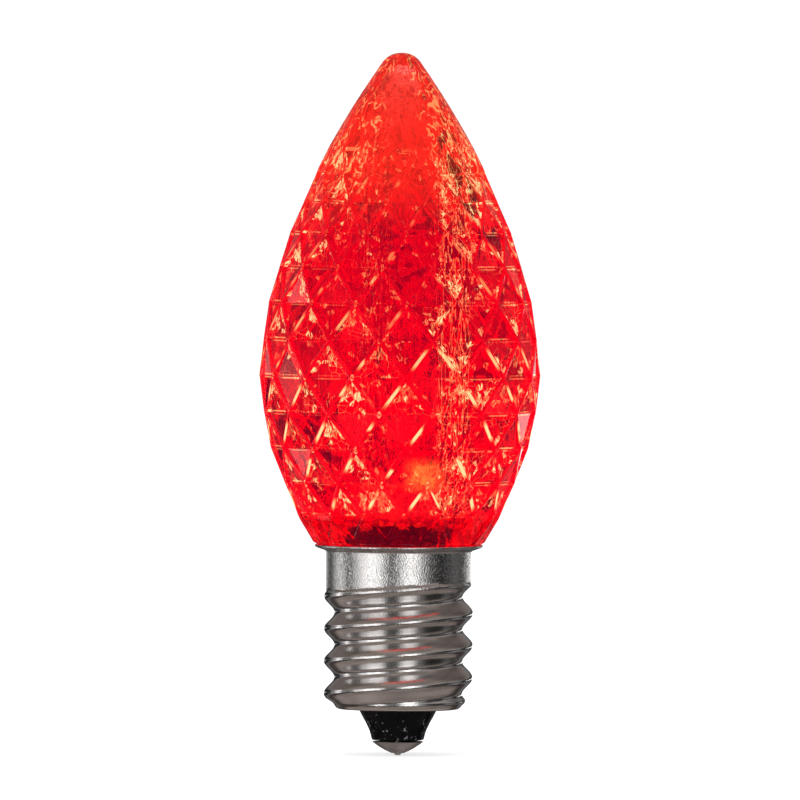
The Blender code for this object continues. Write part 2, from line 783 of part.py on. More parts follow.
def component_wires(surface):
    """The upper leads go through the board, and the lower ones to the contact and the shell."""
    up = Vector((0, 0, 1))
    above_board = up * (BOARD_TOP_Z + FINE_GAP)
    for name, place, drop in (
        ("resistor_lead", resistor_place(), RESISTOR_DROP),
        ("diode_lead", diode_place(), DIODE_DROP),
    ):
        body_top = up * (BOARD_FOOT_Z - drop + FINE_GAP)
        rod(name, [place + body_top, place + above_board], WIRE_RADIUS, surface)
    resistor_foot = BOARD_FOOT_Z - RESISTOR_DROP - RESISTOR_LENGTH - FINE_GAP
    flange_top = SHELL_FOOT_Z + SHEET + FINE_GAP + FLANGE_HEIGHT
    turn_z = (resistor_foot + flange_top) / 2
    rod(
        "centre_wire",
        [
            resistor_place() + up * resistor_foot,
            resistor_place() + up * turn_z,
            up * turn_z,
            up * (PLUG_HEIGHT + FINE_GAP),
        ],
        WIRE_RADIUS,
        surface,
    )
    diode_foot = BOARD_FOOT_Z - DIODE_DROP - DIODE_LENGTH - FINE_GAP
    joint = side_joint_place()
    inset = SIDE_JOINT_DEPTH + FINE_GAP + WIRE_RADIUS
    beside_wall = outward(DIODE_ANGLE) * (joint.xy.length - inset)
    middle_z = (diode_foot + joint.z) / 2
    rod(
        "side_wire",
        [
            diode_place() + up * diode_foot,
            diode_place() + up * middle_z,
            beside_wall + up * middle_z,
            beside_wall + up * (joint.z - SIDE_JOINT_RADIUS),
        ],
        WIRE_RADIUS,
        surface,
    )


def side_joint_place():
    """The middle of the solder on the inside of the shell's wall, below the diode."""
    wall = THREAD_ROOT_RADIUS - SHEET
    height = BOARD_FOOT_Z - DIODE_DROP - DIODE_LENGTH - SIDE_JOINT_DROP
    place = outward(DIODE_ANGLE) * (wall - FINE_GAP - SIDE_JOINT_DEPTH)
    return place + Vector((0, 0, height))


def side_solder(surface):
    """A flattened drop of solder between the side wire and the shell."""
    bm = bmesh.new()
    bmesh.ops.create_uvsphere(bm, u_segments=12, v_segments=8, radius=1)
    flat = (SIDE_JOINT_DEPTH, SIDE_JOINT_RADIUS, SIDE_JOINT_RADIUS)
    bmesh.ops.scale(bm, vec=flat, verts=bm.verts)
    turn = Matrix.Rotation(DIODE_ANGLE, 3, "Z")
    bmesh.ops.rotate(bm, matrix=turn, verts=bm.verts)
    bmesh.ops.translate(bm, vec=side_joint_place(), verts=bm.verts)
    return finished("side_solder", bm, surface)


def adhesive_bead(surface):
    """The ring of glue below the neck, against the shell."""
    outer = THREAD_ROOT_RADIUS - SHEET - FINE_GAP
    top = NECK_END_Z - SEAT_GAP
    outline = [
        (outer - BEAD_WIDTH, top),
        (outer - BEAD_WIDTH / 2, top - BEAD_HEIGHT),
        (outer, top - BEAD_HEIGHT),
        (outer, top),
    ]
    return finished("adhesive_bead", turned(outline, 32), surface)


def main():
    clear_scene()
    red = material("red_lens", (0.8, 0.01, 0.02, 1), 0.03, transmission=1.0)
    nickel = material("nickel", (0.62, 0.58, 0.55, 1), 0.25, metallic=1.0)
    black = material("black_insulator", (0.012, 0.012, 0.014, 1), 0.12)
    solder = material("solder", (0.6, 0.6, 0.6, 1), 0.35, metallic=1.0)
    tinned = material("tinned_wire", (0.7, 0.69, 0.66, 1), 0.3, metallic=1.0)
    glue = material("glue", (0.8, 0.76, 0.66, 1), 0.5)
    board = material("board", (0.02, 0.07, 0.035, 1), 0.4)
    epoxy = material("led_epoxy", (0.9, 0.05, 0.02, 1), 0.08, transmission=0.6)
    enamel = material("resistor_enamel", (0.55, 0.45, 0.28, 1), 0.4)
    moulding = material("diode_moulding", (0.02, 0.02, 0.02, 1), 0.4)
    lens(red)
    screw_shell(nickel)
    base_insulator(black)
    contact_cap(solder)
    solder_tip(solder)
    adhesive_bead(glue)
    led_board(board)
    for index in range(LED_COUNT):
        led(index, epoxy)
        for pole, place in lead_places(index).items():
            name = f"led_{index + 1}_{pole}"
            led_lead(name, place, tinned)
            half_diagonal = LED_LEAD_WIDTH / math.sqrt(2)
            board_joint(name + "_solder", place, half_diagonal, solder)
    resistor(enamel)
    board_joint("resistor_solder", resistor_place(), WIRE_RADIUS, solder)
    diode(moulding)
    board_joint("diode_solder", diode_place(), WIRE_RADIUS, solder)
    component_wires(tinned)
    side_solder(solder)


main()
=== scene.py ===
# %% [markdown]
# # A red faceted lamp on a candelabra screw base
#
# The lamp is 55 mm tall. Its lens is one moulding of clear red plastic, cut outside into a lattice
# of flat triangles and hollow inside, where three light-emitting diodes stand on a small board. It
# is glued into a screw shell of rolled, nickel-plated sheet, which ends below in a black insulator
# and a domed contact. The solids of all these pieces are loaded first, as a frame in metres, with
# +Z up and the tip of the contact at the origin. Everything made here sits in that frame.

# %% Load the frame
import math
import random
from types import SimpleNamespace

import bmesh
import bpy
from mathutils import Matrix, Vector


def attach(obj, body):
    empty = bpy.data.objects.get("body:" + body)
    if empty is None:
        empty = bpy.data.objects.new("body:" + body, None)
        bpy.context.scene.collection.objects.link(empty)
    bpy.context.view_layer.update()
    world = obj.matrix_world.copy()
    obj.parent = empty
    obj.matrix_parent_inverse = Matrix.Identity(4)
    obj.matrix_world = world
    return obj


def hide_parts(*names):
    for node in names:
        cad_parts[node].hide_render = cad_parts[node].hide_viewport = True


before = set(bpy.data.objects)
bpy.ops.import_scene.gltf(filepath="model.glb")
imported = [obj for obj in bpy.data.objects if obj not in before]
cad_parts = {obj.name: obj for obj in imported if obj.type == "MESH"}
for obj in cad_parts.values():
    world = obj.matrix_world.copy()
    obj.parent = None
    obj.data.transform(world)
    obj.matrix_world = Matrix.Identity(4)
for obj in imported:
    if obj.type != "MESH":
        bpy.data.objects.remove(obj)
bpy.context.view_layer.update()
MM = 0.001

# %% [markdown]
# ## The camera
#
# The camera stands a metre and a half away, just above the top of the lamp, so its view is almost
# level and the thread's crests look straight. A long focal length keeps the sides parallel. It is
# aimed at the middle of the lamp and rolled by a third of a degree, because the lamp leans slightly
# to the right in its picture. The width of the picture at that distance sets the focal length.

# %% Camera
CAMERA_DISTANCE = 1500 * MM
CAMERA_HEIGHT = 62 * MM
CAMERA_AIM = Vector((0.02, 0, 27.9)) * MM
CAMERA_ROLL = math.radians(0.34)
PICTURE_WIDTH = 62.8 * MM

lens_data = bpy.data.cameras.new("camera")
camera = bpy.data.objects.new("camera", lens_data)
bpy.context.collection.objects.link(camera)
camera.location = (0, -CAMERA_DISTANCE, CAMERA_HEIGHT)
line_of_sight = CAMERA_AIM - camera.location
aim = line_of_sight.to_track_quat("-Z", "Y").to_matrix().to_4x4()
camera.matrix_world = (
    Matrix.Translation(camera.location) @ aim @ Matrix.Rotation(CAMERA_ROLL, 4, "Z")
)
lens_data.lens = lens_data.sensor_width * line_of_sight.length / PICTURE_WIDTH
lens_data.clip_start = 0.01
bpy.context.scene.camera = camera
bpy.context.scene.view_settings.view_transform = "Standard"
bpy.context.scene.cycles.max_bounces = 10
bpy.context.scene.cycles.glossy_bounces = 10
print("focal length", round(lens_data.lens), "mm")

# %% [markdown]
# ## Helpers for meshes
#
# Every new piece is a bmesh, which operators shape and one function turns into an object. Round
# pieces start as an outline of radius and height that is spun about the lamp's axis, and a small
# function gives the points of its arcs. Each piece says which solid of the frame it stands for, and
# rides on the frame's one body.

# %% Helpers for meshes
SMOOTH_LIMIT = math.radians(30)
MERGE_DISTANCE = 0.0001 * MM


def made_piece(name, bm, surfaces, replaced=None, flat=None):
    """Turns a bmesh into an object that rides on the frame and may replace one of its solids.

    The faces for which the function flat is true are shaded flat.
    """
    bmesh.ops.recalc_face_normals(bm, faces=bm.faces)
    smooth = [flat is None or not flat(face) for face in bm.faces]
    mesh = bpy.data.meshes.new(name)
    bm.to_mesh(mesh)
    bm.free()
    for surface in surfaces:
        mesh.materials.append(surface)
    mesh.set_sharp_from_angle(angle=SMOOTH_LIMIT)
    mesh.polygons.foreach_set("use_smooth", smooth)
    obj = bpy.data.objects.new(name, mesh)
    bpy.context.collection.objects.link(obj)
    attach(obj, "root")
    if replaced:
        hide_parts(replaced)
    print(name, "has", len(mesh.polygons), "faces")


def arc(centre, radius, start, end, count):
    """Points on an arc in radius and height, from one angle to another in degrees."""
    angles = [math.radians(start + (end - start) * i / count) for i in range(count + 1)]
    return [(centre[0] + radius * math.cos(a), centre[1] + radius * math.sin(a)) for a in angles]


def spun(outline, steps):
    """Spins an outline of (radius, height) about the Z axis, closed to a ring or on the axis."""
    bm = bmesh.new()
    points = [bm.verts.new((radius, 0, height)) for radius, height in outline]
    edges = [bm.edges.new(pair) for pair in zip(points, points[1:])]
    if outline[0][0] > 0 or outline[-1][0] > 0:
        edges.append(bm.edges.new((points[-1], points[0])))
    turn = {"cent": (0, 0, 0), "axis": (0, 0, 1), "angle": math.tau, "steps": steps}
    bmesh.ops.spin(bm, geom=points + edges, use_merge=True, **turn)
    bmesh.ops.remove_doubles(bm, verts=bm.verts, dist=MERGE_DISTANCE)
    return bm


# %% [markdown]
# ## Helpers for finishes
#
# A finish is a small network of shader nodes. Patterns read more easily as arithmetic, so one class
# wraps a node's output and lets it be added to, multiplied and subtracted from, which adds the Math
# nodes. Any other node comes from a single method, which takes the node's type, its settings and
# what goes into its sockets.

# %% Helpers for finishes
def maths(operation, swapped=False):
    """A method that puts two numbers through a Math node, in their order or swapped."""

    def method(self, other=0.0):
        first, second = (other, self) if swapped else (self, other)
        sockets = {0: first, 1: second}
        return self.finish.node("ShaderNodeMath", {"operation": operation}, sockets)

    return method


class Signal:
    """One output of a shader node, which can be used in arithmetic."""

    def __init__(self, finish, socket):
        self.finish = finish
        self.socket = socket

    __add__ = maths("ADD")
    __radd__ = maths("ADD", swapped=True)
    __sub__ = maths("SUBTRACT")
    __rsub__ = maths("SUBTRACT", swapped=True)
    __mul__ = maths("MULTIPLY")
    __rmul__ = maths("MULTIPLY", swapped=True)
    __truediv__ = maths("DIVIDE")
    __abs__ = maths("ABSOLUTE")
    larger = maths("MAXIMUM")


class Finish:
    """A network of shader nodes for one material or for the world."""

    def __init__(self, owner):
        self.owner = owner
        owner.use_nodes = True
        self.tree = owner.node_tree
        self.tree.nodes.clear()

    def node(self, kind, settings=None, sockets=None, output=0):
        made = self.tree.nodes.new(kind)
        for name, value in (settings or {}).items():
            if name == "stops":
                ramp = made.color_ramp
                while len(ramp.elements) < len(value):
                    ramp.elements.new(1.0)
                for stop, (place, color) in zip(ramp.elements, value):
                    stop.position = place
                    stop.color = color
            else:
                setattr(made, name, value)
        for name, value in (sockets or {}).items():
            if isinstance(value, Signal):
                self.tree.links.new(value.socket, made.inputs[name])
            else:
                made.inputs[name].default_value = value
        return Signal(self, made.outputs[output]) if made.outputs else None

    def place(self):
        """The Object coordinates of the surface, in metres."""
        return self.node("ShaderNodeTexCoord", output=3)

    def axis(self, place, index):
        """One coordinate of a place: 0 for X, 1 for Y and 2 for Z."""
        return self.node("ShaderNodeSeparateXYZ", None, {0: place}, index)

    def stretched(self, place, scale):
        return self.node("ShaderNodeMapping", None, {"Vector": place, "Scale": scale})

    def noise(self, place, scale, detail=2.0, roughness=0.5):
        sockets = {"Vector": place, "Scale": scale, "Detail": detail, "Roughness": roughness}
        return self.node("ShaderNodeTexNoise", None, sockets)

    def between(self, value, low, high):
        """0 below low, 1 above high and a smooth rise between them."""
        settings = {"interpolation_type": "SMOOTHSTEP"}
        sockets = {"Value": value, "From Min": low, "From Max": high}
        return self.node("ShaderNodeMapRange", settings, sockets)

    def span(self, value, near, far):
        """1 where a value is close to zero and 0 where it is far from it, on either side."""
        return 1.0 - self.between(abs(value), near, far)

    def attribute(self, name):
        """A number that the mesh carries for each point or face."""
        return self.node("ShaderNodeAttribute", {"attribute_name": name}, None, 2)

    def mix(self, factor, first, second):
        """A blend of two colours."""
        return self.node(
            "ShaderNodeMix", {"data_type": "RGBA"}, {0: factor, 6: first, 7: second}, 2
        )

    def bump(self, height, distance, strength=1.0):
        sockets = {"Height": height, "Distance": distance, "Strength": strength}
        return self.node("ShaderNodeBump", None, sockets)

    def output(self, surface, volume=None):
        sockets = {"Surface": surface}
        if volume:
            sockets["Volume"] = volume
        self.node("ShaderNodeOutputMaterial", None, sockets)
        return self.owner

    def principled(self, sockets, volume=None):
        """Ends the network in a Principled surface and gives back the material."""
        return self.output(self.node("ShaderNodeBsdfPrincipled", None, sockets), volume)


WHITE = (1.0, 1.0, 1.0, 1)
MM_PER_METRE = 1000.0


def new_finish(name):
    """The empty network of a new material and the place of a point on it."""
    finish = Finish(bpy.data.materials.new(name))
    return finish, finish.place()


# %% [markdown]
# ## The lens: its plastic
#
# The lens is clear plastic dyed red all the way through. A dye is best made as what it is, a volume
# that absorbs green and blue along the way that light travels: thin places then turn orange, thick
# ones deep red, and this red of the dye is not painted on. The skin refracts, and what it mirrors
# is tinted red.
#
# The lamp is lit, and each facet shows a different piece of the diodes, the fluted hollow and the
# far wall. Much of that light is painted on as an emission where it comes out, and where it
# doesn't, the skin is darkened with painted shade. These painted patterns depend on where a point
# is: how high it is, whether it lies over the hollow, and where it is in its own facet. The mesh
# carries the last of these, and a random number for each facet, which shifts the noise, so that a
# pattern breaks off at every edge as it should.

# %% Where a point of the lens is
def lens_places(finish, place):
    """The signals that several patterns share, with lengths in millimetres."""
    at = SimpleNamespace(place=place)
    radius = finish.node(
        "ShaderNodeVectorMath",
        {"operation": "LENGTH"},
        {0: finish.stretched(place, (MM_PER_METRE, MM_PER_METRE, 0.0))},
        1,
    )
    at.height = finish.axis(place, 2) * MM_PER_METRE
    at.sideways = finish.axis(place, 0) * MM_PER_METRE
    at.hollow = 1.0 - finish.between(radius, 3.6, 4.4)
    at.low = 1.0 - finish.between(at.height, 21.0, 46.0)
    at.above_foot = finish.between(at.height, 18.3, 19.5)
    at.point = finish.between(at.height, 40.0, 47.0)

    # The place in the facet, from its base at 0 to its point at 1, and the facet's own numbers
    inside = finish.node("ShaderNodeUVMap", {"uv_map": "facet"})
    at.across = finish.axis(inside, 0) - 0.5
    at.along = finish.axis(inside, 1)
    at.seed = finish.attribute("seed")
    flat = {"noise_dimensions": "1D"}
    chance = finish.node("ShaderNodeTexWhiteNoise", flat, {"W": at.seed}, 1)
    at.luck = finish.axis(chance, 0)
    apart = finish.node(
        "ShaderNodeVectorMath",
        {"operation": "MULTIPLY_ADD"},
        {0: chance, 1: (0.1, 0.1, 0.1), 2: place},
    )

    # Fine grains and upright flow lines, which differ from facet to facet, and upright flutes
    at.fine = finish.noise(apart, 1500.0, 2.0, 0.6)
    at.flow = finish.noise(finish.stretched(apart, (1.0, 1.0, 0.32)), 760.0, 2.0, 0.5)
    at.flute = finish.noise(finish.stretched(place, (1.0, 1.0, 0.1)), 2600.0, 2.0, 0.6)
    left_band = 0.5 * finish.span(at.sideways + 2.0, 0.8, 1.8)
    at.bands = finish.span(at.sideways - 4.2, 0.8, 2.0).larger(left_band)
    return at


# %% [markdown]
# In a facet, painted shards of light fan out from its point, as the far side looks when it is
# broken up. They are the cells of a Voronoi pattern in coordinates that narrow towards the point,
# and fine strokes run along them. Facets that catch the light get a broad painted smear of it, a
# few shards get a painted flash, some borders between shards are painted as bright lines, and
# painted hairs of light and a painted highlight along the facet's own crease cross the rest. Gloomy
# facets get painted shade.

# %% The painted light in a facet
def facet_light(finish, at):
    """The painted light of a facet, the strokes that run along its shards and its painted shade."""
    turn = (at.across + 0.16 * (at.fine - 0.5)) / (1.15 - at.along)
    fan = finish.node("ShaderNodeCombineXYZ", None, {0: turn, 1: at.along * 0.9 + at.seed * 7.0})
    flat = {"voronoi_dimensions": "2D"}
    sockets = {"Vector": fan, "Scale": 5.0}
    chances = finish.node("ShaderNodeTexVoronoi", {**flat, "feature": "F1"}, sockets, 1)
    rim = finish.node("ShaderNodeTexVoronoi", {**flat, "feature": "DISTANCE_TO_EDGE"}, sockets)
    tone = finish.axis(chances, 0)
    second = finish.axis(chances, 1)
    brush = finish.noise(finish.stretched(fan, (1.0, 0.22, 1.0)), 24.0, 1.0, 0.6)
    stroke = finish.between(brush, 0.44, 0.56)

    # Painted light: a smear on facets that catch the light, flashing shards, bright borders,
    # hairlines and a highlight along the crease
    catches = finish.attribute("smear")
    catching = finish.between(catches, 0.1, 0.5)
    reach = at.along + 0.5 * at.luck - 0.25 + (tone - 0.5) * 0.5
    smear = catches * finish.between(reach, 0.48, 0.56)
    smear = smear * (0.1 + 1.7 * stroke * finish.between(second, 0.2, 0.7))
    peak = finish.between(rim, 0.0, 0.2)
    flash = finish.between(tone, 0.88, 0.91) * peak * stroke * (0.45 + 0.55 * catching)
    line = (1.0 - finish.between(rim, 0.012, 0.03)) * finish.between(second, 0.5, 0.55)
    painted_hairline = finish.span(at.flow - 0.5, 0.003, 0.012)
    ends = 1.0 - finish.between(abs(at.across), 0.2, 0.46)
    crease_highlight = finish.span(at.along - 0.05, 0.012, 0.035) * finish.attribute("edge") * ends

    light = smear + flash + 0.75 * crease_highlight
    light = light + (0.55 * line + 0.3 * painted_hairline) * (0.4 + 0.6 * catching)
    # Painted shade on the gloomy facets
    gloom = finish.attribute("gloom") * (1.0 - finish.between(tone, 0.30, 0.34))
    return light * finish.attribute("skin"), stroke, gloom


# %% [markdown]
# Outside the facets there are painted highlights along the ribs, brightest in the lower half,
# painted upright threads of light and of shade where the side of the hollow is seen, and painted
# flow lines in the smooth point. These flow lines run in its outer part, and a chain of painted
# dark spots of shade follows its edge on the right.

# %% The painted light and shade in the ribs, the hollow and the point
def rib_highlights(finish, at):
    # Painted highlights along the crowns of the ribs that are noted as lit
    crown = finish.between(finish.attribute("crown"), 0.05, 0.45)
    run = finish.between(finish.noise(at.place, 420.0, 1.0), 0.42, 0.54)
    taper = finish.span(at.along - 0.5, 0.14, 0.46)
    return crown * finish.attribute("lit") * run * taper * (0.35 + 0.75 * at.low)


def hollow_thread_light_and_shade(finish, at):
    """The painted bright threads of light and the painted dark threads of shade beside them."""
    bright = finish.span(at.flute - 0.5, 0.008, 0.03) * at.bands * (1.0 - at.hollow)
    return bright, finish.between(at.flute, 0.54, 0.57) * at.bands


def point_light_and_shade(finish, at):
    """The painted bright and dark flow lines of the point, and the painted dark spots of shade down
    its side.
    """
    broken = finish.between(at.fine, 0.40, 0.54)
    share = abs(at.sideways) / ((56.0 - at.height) * 0.7)
    outer = 0.3 + 0.7 * finish.between(share, 0.2, 0.5)
    # Painted light along the flow lines, and painted shade in the dark flow lines and the chain of
    # spots
    flow_highlights = finish.span(at.flow - 0.45, 0.012, 0.04)
    flow_highlights = flow_highlights + 0.8 * finish.span(at.flow - 0.57, 0.008, 0.03)
    flow_highlights = flow_highlights * at.point * outer * (0.3 + 0.7 * broken)
    flow_shade = finish.span(at.flow - 0.49, 0.008, 0.02) * at.point * 0.6 * broken
    chain = finish.span(share - 0.62, 0.06, 0.2) * finish.between(at.height, 37.0, 41.0)
    rightward = 0.5 + 0.5 * finish.between(at.sideways, -1.0, 1.0)
    return flow_highlights, flow_shade, finish.between(at.flow, 0.52, 0.56) * chain * rightward


# %% [markdown]
# The sum of the painted light runs through a colour ramp, from deep red over orange to yellow, as
# strong light keeps more of its green on the way through the dye. A faint painted glow lies under
# it, with a painted haze of orange over the diodes, where they shine through the wall.

# %% The red plastic
PLASTIC_IOR = 1.49
DYE_DENSITY = 820.0
DYE_COLOR = (0.9946, 0.10, 0.024, 1)
MIRROR_TINT = (1.0, 0.04, 0.05, 1)
# Colours of the painted light and of the painted glow and haze
GLEAM_STOPS = [
    (0.0, (0.0, 0.0, 0.0, 1)),
    (0.25, (0.20, 0.008, 0.006, 1)),
    (0.6, (0.55, 0.28, 0.09, 1)),
    (1.0, (1.0, 0.80, 0.36, 1)),
]
GLOW_OF_SIDES = (0.01, 0.0, 0.012, 1)
GLOW_OF_HOLLOW = (0.02, 0.0, 0.011, 1)
GLOW_OF_POINT = (0.08, 0.016, 0.010, 1)
GLOW_OF_FOOT = (0.05, 0.0, 0.006, 1)
GLOW_OF_HAZE = (0.7, 0.20, 0.04, 1)
# Colours of painted shade: the darker skin and the chain of dark spots
SHADED = (0.24, 0.01, 0.02, 1)
PAINTED_SPOT_SHADE = (0.03, 0.002, 0.004, 1)


def red_plastic():
    finish, place = new_finish("red_plastic")
    at = lens_places(finish, place)
    in_facets, stroke, gloom = facet_light(finish, at)
    thread_highlights, thread_shade = hollow_thread_light_and_shade(finish, at)
    flow_highlights, flow_shade, spot_shade = point_light_and_shade(finish, at)

    light = in_facets + rib_highlights(finish, at) + 0.5 * thread_highlights + 0.6 * flow_highlights
    # Painted light as emission: the gleam, a painted glow under it and a painted orange haze over
    # the diodes
    gleam = finish.node("ShaderNodeValToRGB", {"stops": GLEAM_STOPS}, {0: light * at.above_foot})
    haze = finish.span(at.sideways - 2.0, 0.3, 1.9) * finish.span(at.height - 22.2, 0.2, 1.6)
    haze = haze * (0.2 + 0.5 * finish.between(at.fine, 0.4, 0.6) + 0.6 * stroke)
    glow = finish.mix(at.hollow * at.low, GLOW_OF_SIDES, GLOW_OF_HOLLOW)
    glow = finish.mix(at.point, glow, GLOW_OF_POINT)
    glow = finish.mix(at.above_foot, GLOW_OF_FOOT, glow)
    glow = finish.mix(haze * (1.0 - at.hollow), glow, GLOW_OF_HAZE)
    shine = finish.node("ShaderNodeVectorMath", {"operation": "ADD"}, {0: gleam, 1: glow})

    # Painted shade: gloomy facets, dark veins and threads over the hollow, dark flow lines, the
    # chain of dark spots and the darker foot below the diodes
    ripple = finish.noise(finish.stretched(place, (1.0, 1.0, 0.12)), 2000.0, 2.0, 0.6)
    vein_shade = finish.between(ripple, 0.54, 0.60) * at.hollow * 0.7
    foot_shade = (1.0 - at.above_foot) * finish.between(at.fine, 0.40, 0.52)
    shade = gloom.larger(vein_shade).larger(thread_shade).larger(flow_shade).larger(foot_shade)
    shaded_color = finish.mix(shade, WHITE, SHADED)
    relief = ripple * at.hollow + at.flow * (0.6 * at.point + 0.9 * (1.0 - at.above_foot))
    sockets = {
        "Base Color": finish.mix(spot_shade, shaded_color, PAINTED_SPOT_SHADE),
        "Roughness": 0.02,
        "IOR": PLASTIC_IOR,
        "Specular Tint": MIRROR_TINT,
        "Transmission Weight": 1.0,
        "Normal": finish.bump(relief, 0.0003, 1.0),
        "Emission Color": shine,
        "Emission Strength": 1.0,
    }
    dye = {"Color": DYE_COLOR, "Density": DYE_DENSITY}
    return finish.principled(sockets, finish.node("ShaderNodeVolumeAbsorption", None, dye))


# %% [markdown]
# ## The lens: its shape
#
# Seen from the side the lens is a flame: it flares out of the shell, is widest a third of the way
# up and closes in a long, nearly straight slope to a small round tip. Three curves follow one
# another, each given by its end points and handles. The facets are a lattice of sixteen nodes to a
# ring, and every ring is turned half a facet against the one below, so the lattice is extruded ring
# by ring from a circle, and cutting its skew quads along their short diagonal gives the triangles.

# %% The outline of the flame
RIM_Z = 16.56 * MM
LENS_TOP_Z = 55.16 * MM
RIM = (6.74 * MM, RIM_Z)
BELLY = (11.14 * MM, RIM_Z + 12.94 * MM)
TIP_RADIUS = 1.69 * MM
TIP_FLAT = 0.1 * MM
POINT_ANGLE = 35.1


def bezier(a, b, c, d, count):
    """Points on a cubic curve in radius and height, with both ends."""
    points = []
    for i in range(count + 1):
        t = i / count
        shares = ((1 - t) ** 3, 3 * (1 - t) ** 2 * t, 3 * (1 - t) * t * t, t**3)
        points.append(tuple(sum(s * p[k] for s, p in zip(shares, (a, b, c, d))) for k in (0, 1)))
    return points


def handle(point, length, degrees):
    """A point at a distance from another, at an angle from the upward direction."""
    lean = math.radians(degrees)
    return (point[0] + length * math.sin(lean), point[1] + length * math.cos(lean))


def flame_outline():
    tip_centre = (TIP_FLAT, LENS_TOP_Z - TIP_RADIUS)
    tip = arc(tip_centre, TIP_RADIUS, POINT_ANGLE, 90, 12)
    lower = bezier(RIM, handle(RIM, 7.6 * MM, 31.5), handle(BELLY, 1.51 * MM, 180), BELLY, 60)
    into_tip = handle(tip[0], 13.0 * MM, 180 - POINT_ANGLE)
    upper = bezier(BELLY, handle(BELLY, 5.64 * MM, 0), into_tip, tip[0], 80)
    return lower[:-1] + upper[:-1] + tip


flame = flame_outline()
print("the lens is", round(2 * max(r for r, z in flame) / MM, 2), "mm wide")

# %% [markdown]
# Twelve rows of facets cover the lens below its smooth point. They are tallest at the belly and
# crowd together towards both ends, so that all triangles look alike, and a cubic in the row's
# number gives that with two constants. The radius of each ring is read off the flame's outline.

# %% The rows of facets
FACETS_AROUND = 16
FACET_ROWS = 12
FACETED_HEIGHT = 31.25 * MM
ROW_SHIFT = 0.072
ROW_CROWDING = 0.225
FACET_TURN = math.radians(-8.6)


def facet_rows():
    rows = []
    for i in range(FACET_ROWS + 1):
        t = i / FACET_ROWS
        share = t + t * (1 - t) * (ROW_SHIFT - ROW_CROWDING * (1 - 2 * t))
        height = RIM_Z + FACETED_HEIGHT * share
        below, above = [(p, q) for p, q in zip(flame, flame[1:]) if p[1] <= height < q[1]][0]
        part = (height - below[1]) / (above[1] - below[1])
        rows.append((below[0] + (above[0] - below[0]) * part, height))
    return rows


rows = facet_rows()
print("rows of facets end at", [round(z / MM, 1) for r, z in rows], "mm")

# %% [markdown]
# The skin grows ring by ring. One helper extrudes a ring of edges to a new radius and height, one
# divides a ring's edges and puts the new points on a circle, and one presses flutes into a ring.

# %% Helpers for the skin of the lens
def is_level(edge):
    return abs(edge.verts[0].co.z - edge.verts[1].co.z) < 0.001 * MM


def ring_points(ring):
    return list({vert for edge in ring for vert in edge.verts})


def next_ring(bm, ring, radius, height, turn=0.0):
    """Extrudes a ring of edges to a new radius and height and gives back the new ring."""
    old = ring_points(ring)
    share = radius / max(vert.co.xy.length for vert in old)
    lift = height - old[0].co.z
    made = bmesh.ops.extrude_edge_only(bm, edges=ring)["geom"]
    moved = [part for part in made if isinstance(part, bmesh.types.BMVert)]
    new = set(moved)
    bmesh.ops.scale(bm, vec=(share, share, 1), verts=moved)
    bmesh.ops.rotate(bm, matrix=Matrix.Rotation(turn, 3, "Z"), verts=moved)
    bmesh.ops.translate(bm, vec=(0, 0, lift), verts=moved)
    edges = [part for part in made if isinstance(part, bmesh.types.BMEdge)]
    return [edge for edge in edges if new.issuperset(edge.verts)]


def divided_ring(bm, ring, cuts, radius):
    height = ring[0].verts[0].co.z
    bmesh.ops.subdivide_edges(bm, edges=ring, cuts=cuts)
    edges = [e for e in bm.edges if e.is_boundary]
    edges = [e for e in edges if all(abs(v.co.z - height) < MERGE_DISTANCE for v in e.verts)]
    for vert in ring_points(edges):
        vert.co.xy *= radius / vert.co.xy.length
    return edges


def flute(ring, radius, depth, sway):
    """Presses a wave of flutes into a ring. Sway shifts them a little round the axis."""
    for vert in ring_points(ring):
        angle = math.atan2(vert.co.y, vert.co.x) - FACET_TURN
        wave = depth / 2 * math.cos(FLUTES * angle + sway)
        vert.co.xy *= (radius + wave) / vert.co.xy.length


# %% [markdown]
# The whole lens is one closed skin, and its walls are up to seven millimetres thick, so it can't be
# a shell with a modifier: the inside has a shape of its own. The skin starts at the rim, goes up
# the lattice and over the tip, and then from the rim down the neck, up the bore past the ledge, and
# up the fluted hollow. Each pair of triangles over a level edge is then sunk a little, which leaves
# ribs along the slanting edges. These are rounded last, because moulded plastic has no sharp edges,
# and the narrow rounded bands catch the light. The level edges stay thin creases.

# %% The faceted lens
EDGE_ROUNDING = 0.24 * MM
RIB_WIDTH = 0.6 * MM
RIB_HEIGHT = 0.14 * MM
CREASE_DEPTH = 0.16 * MM
SMALLEST_FACET = 0.3e-6
NECK_RADIUS = 5.18 * MM
BORE_RADIUS = 4.35 * MM
LEDGE_Z = 18.96 * MM
SHOULDER_Z = 15.85 * MM
RIM_FOOT_Z = 16.75 * MM
NECK_END_Z = 13.86 * MM
FLUTES = 24
FLUTE_DEPTH = 0.16 * MM
FLUTE_DEPTH_IN_POINT = 0.05 * MM
FLUTE_SWAY = 0.5
HOLLOW_FOOT_RADIUS = 3.75 * MM
HOLLOW_TOP_RADIUS = 3.40 * MM
HOLLOW_END_RADIUS = 0.28 * MM
HOLLOW_STRAIGHT_Z = LEDGE_Z + 22.5 * MM
HOLLOW_TOP_Z = LENS_TOP_Z - 1.4 * MM


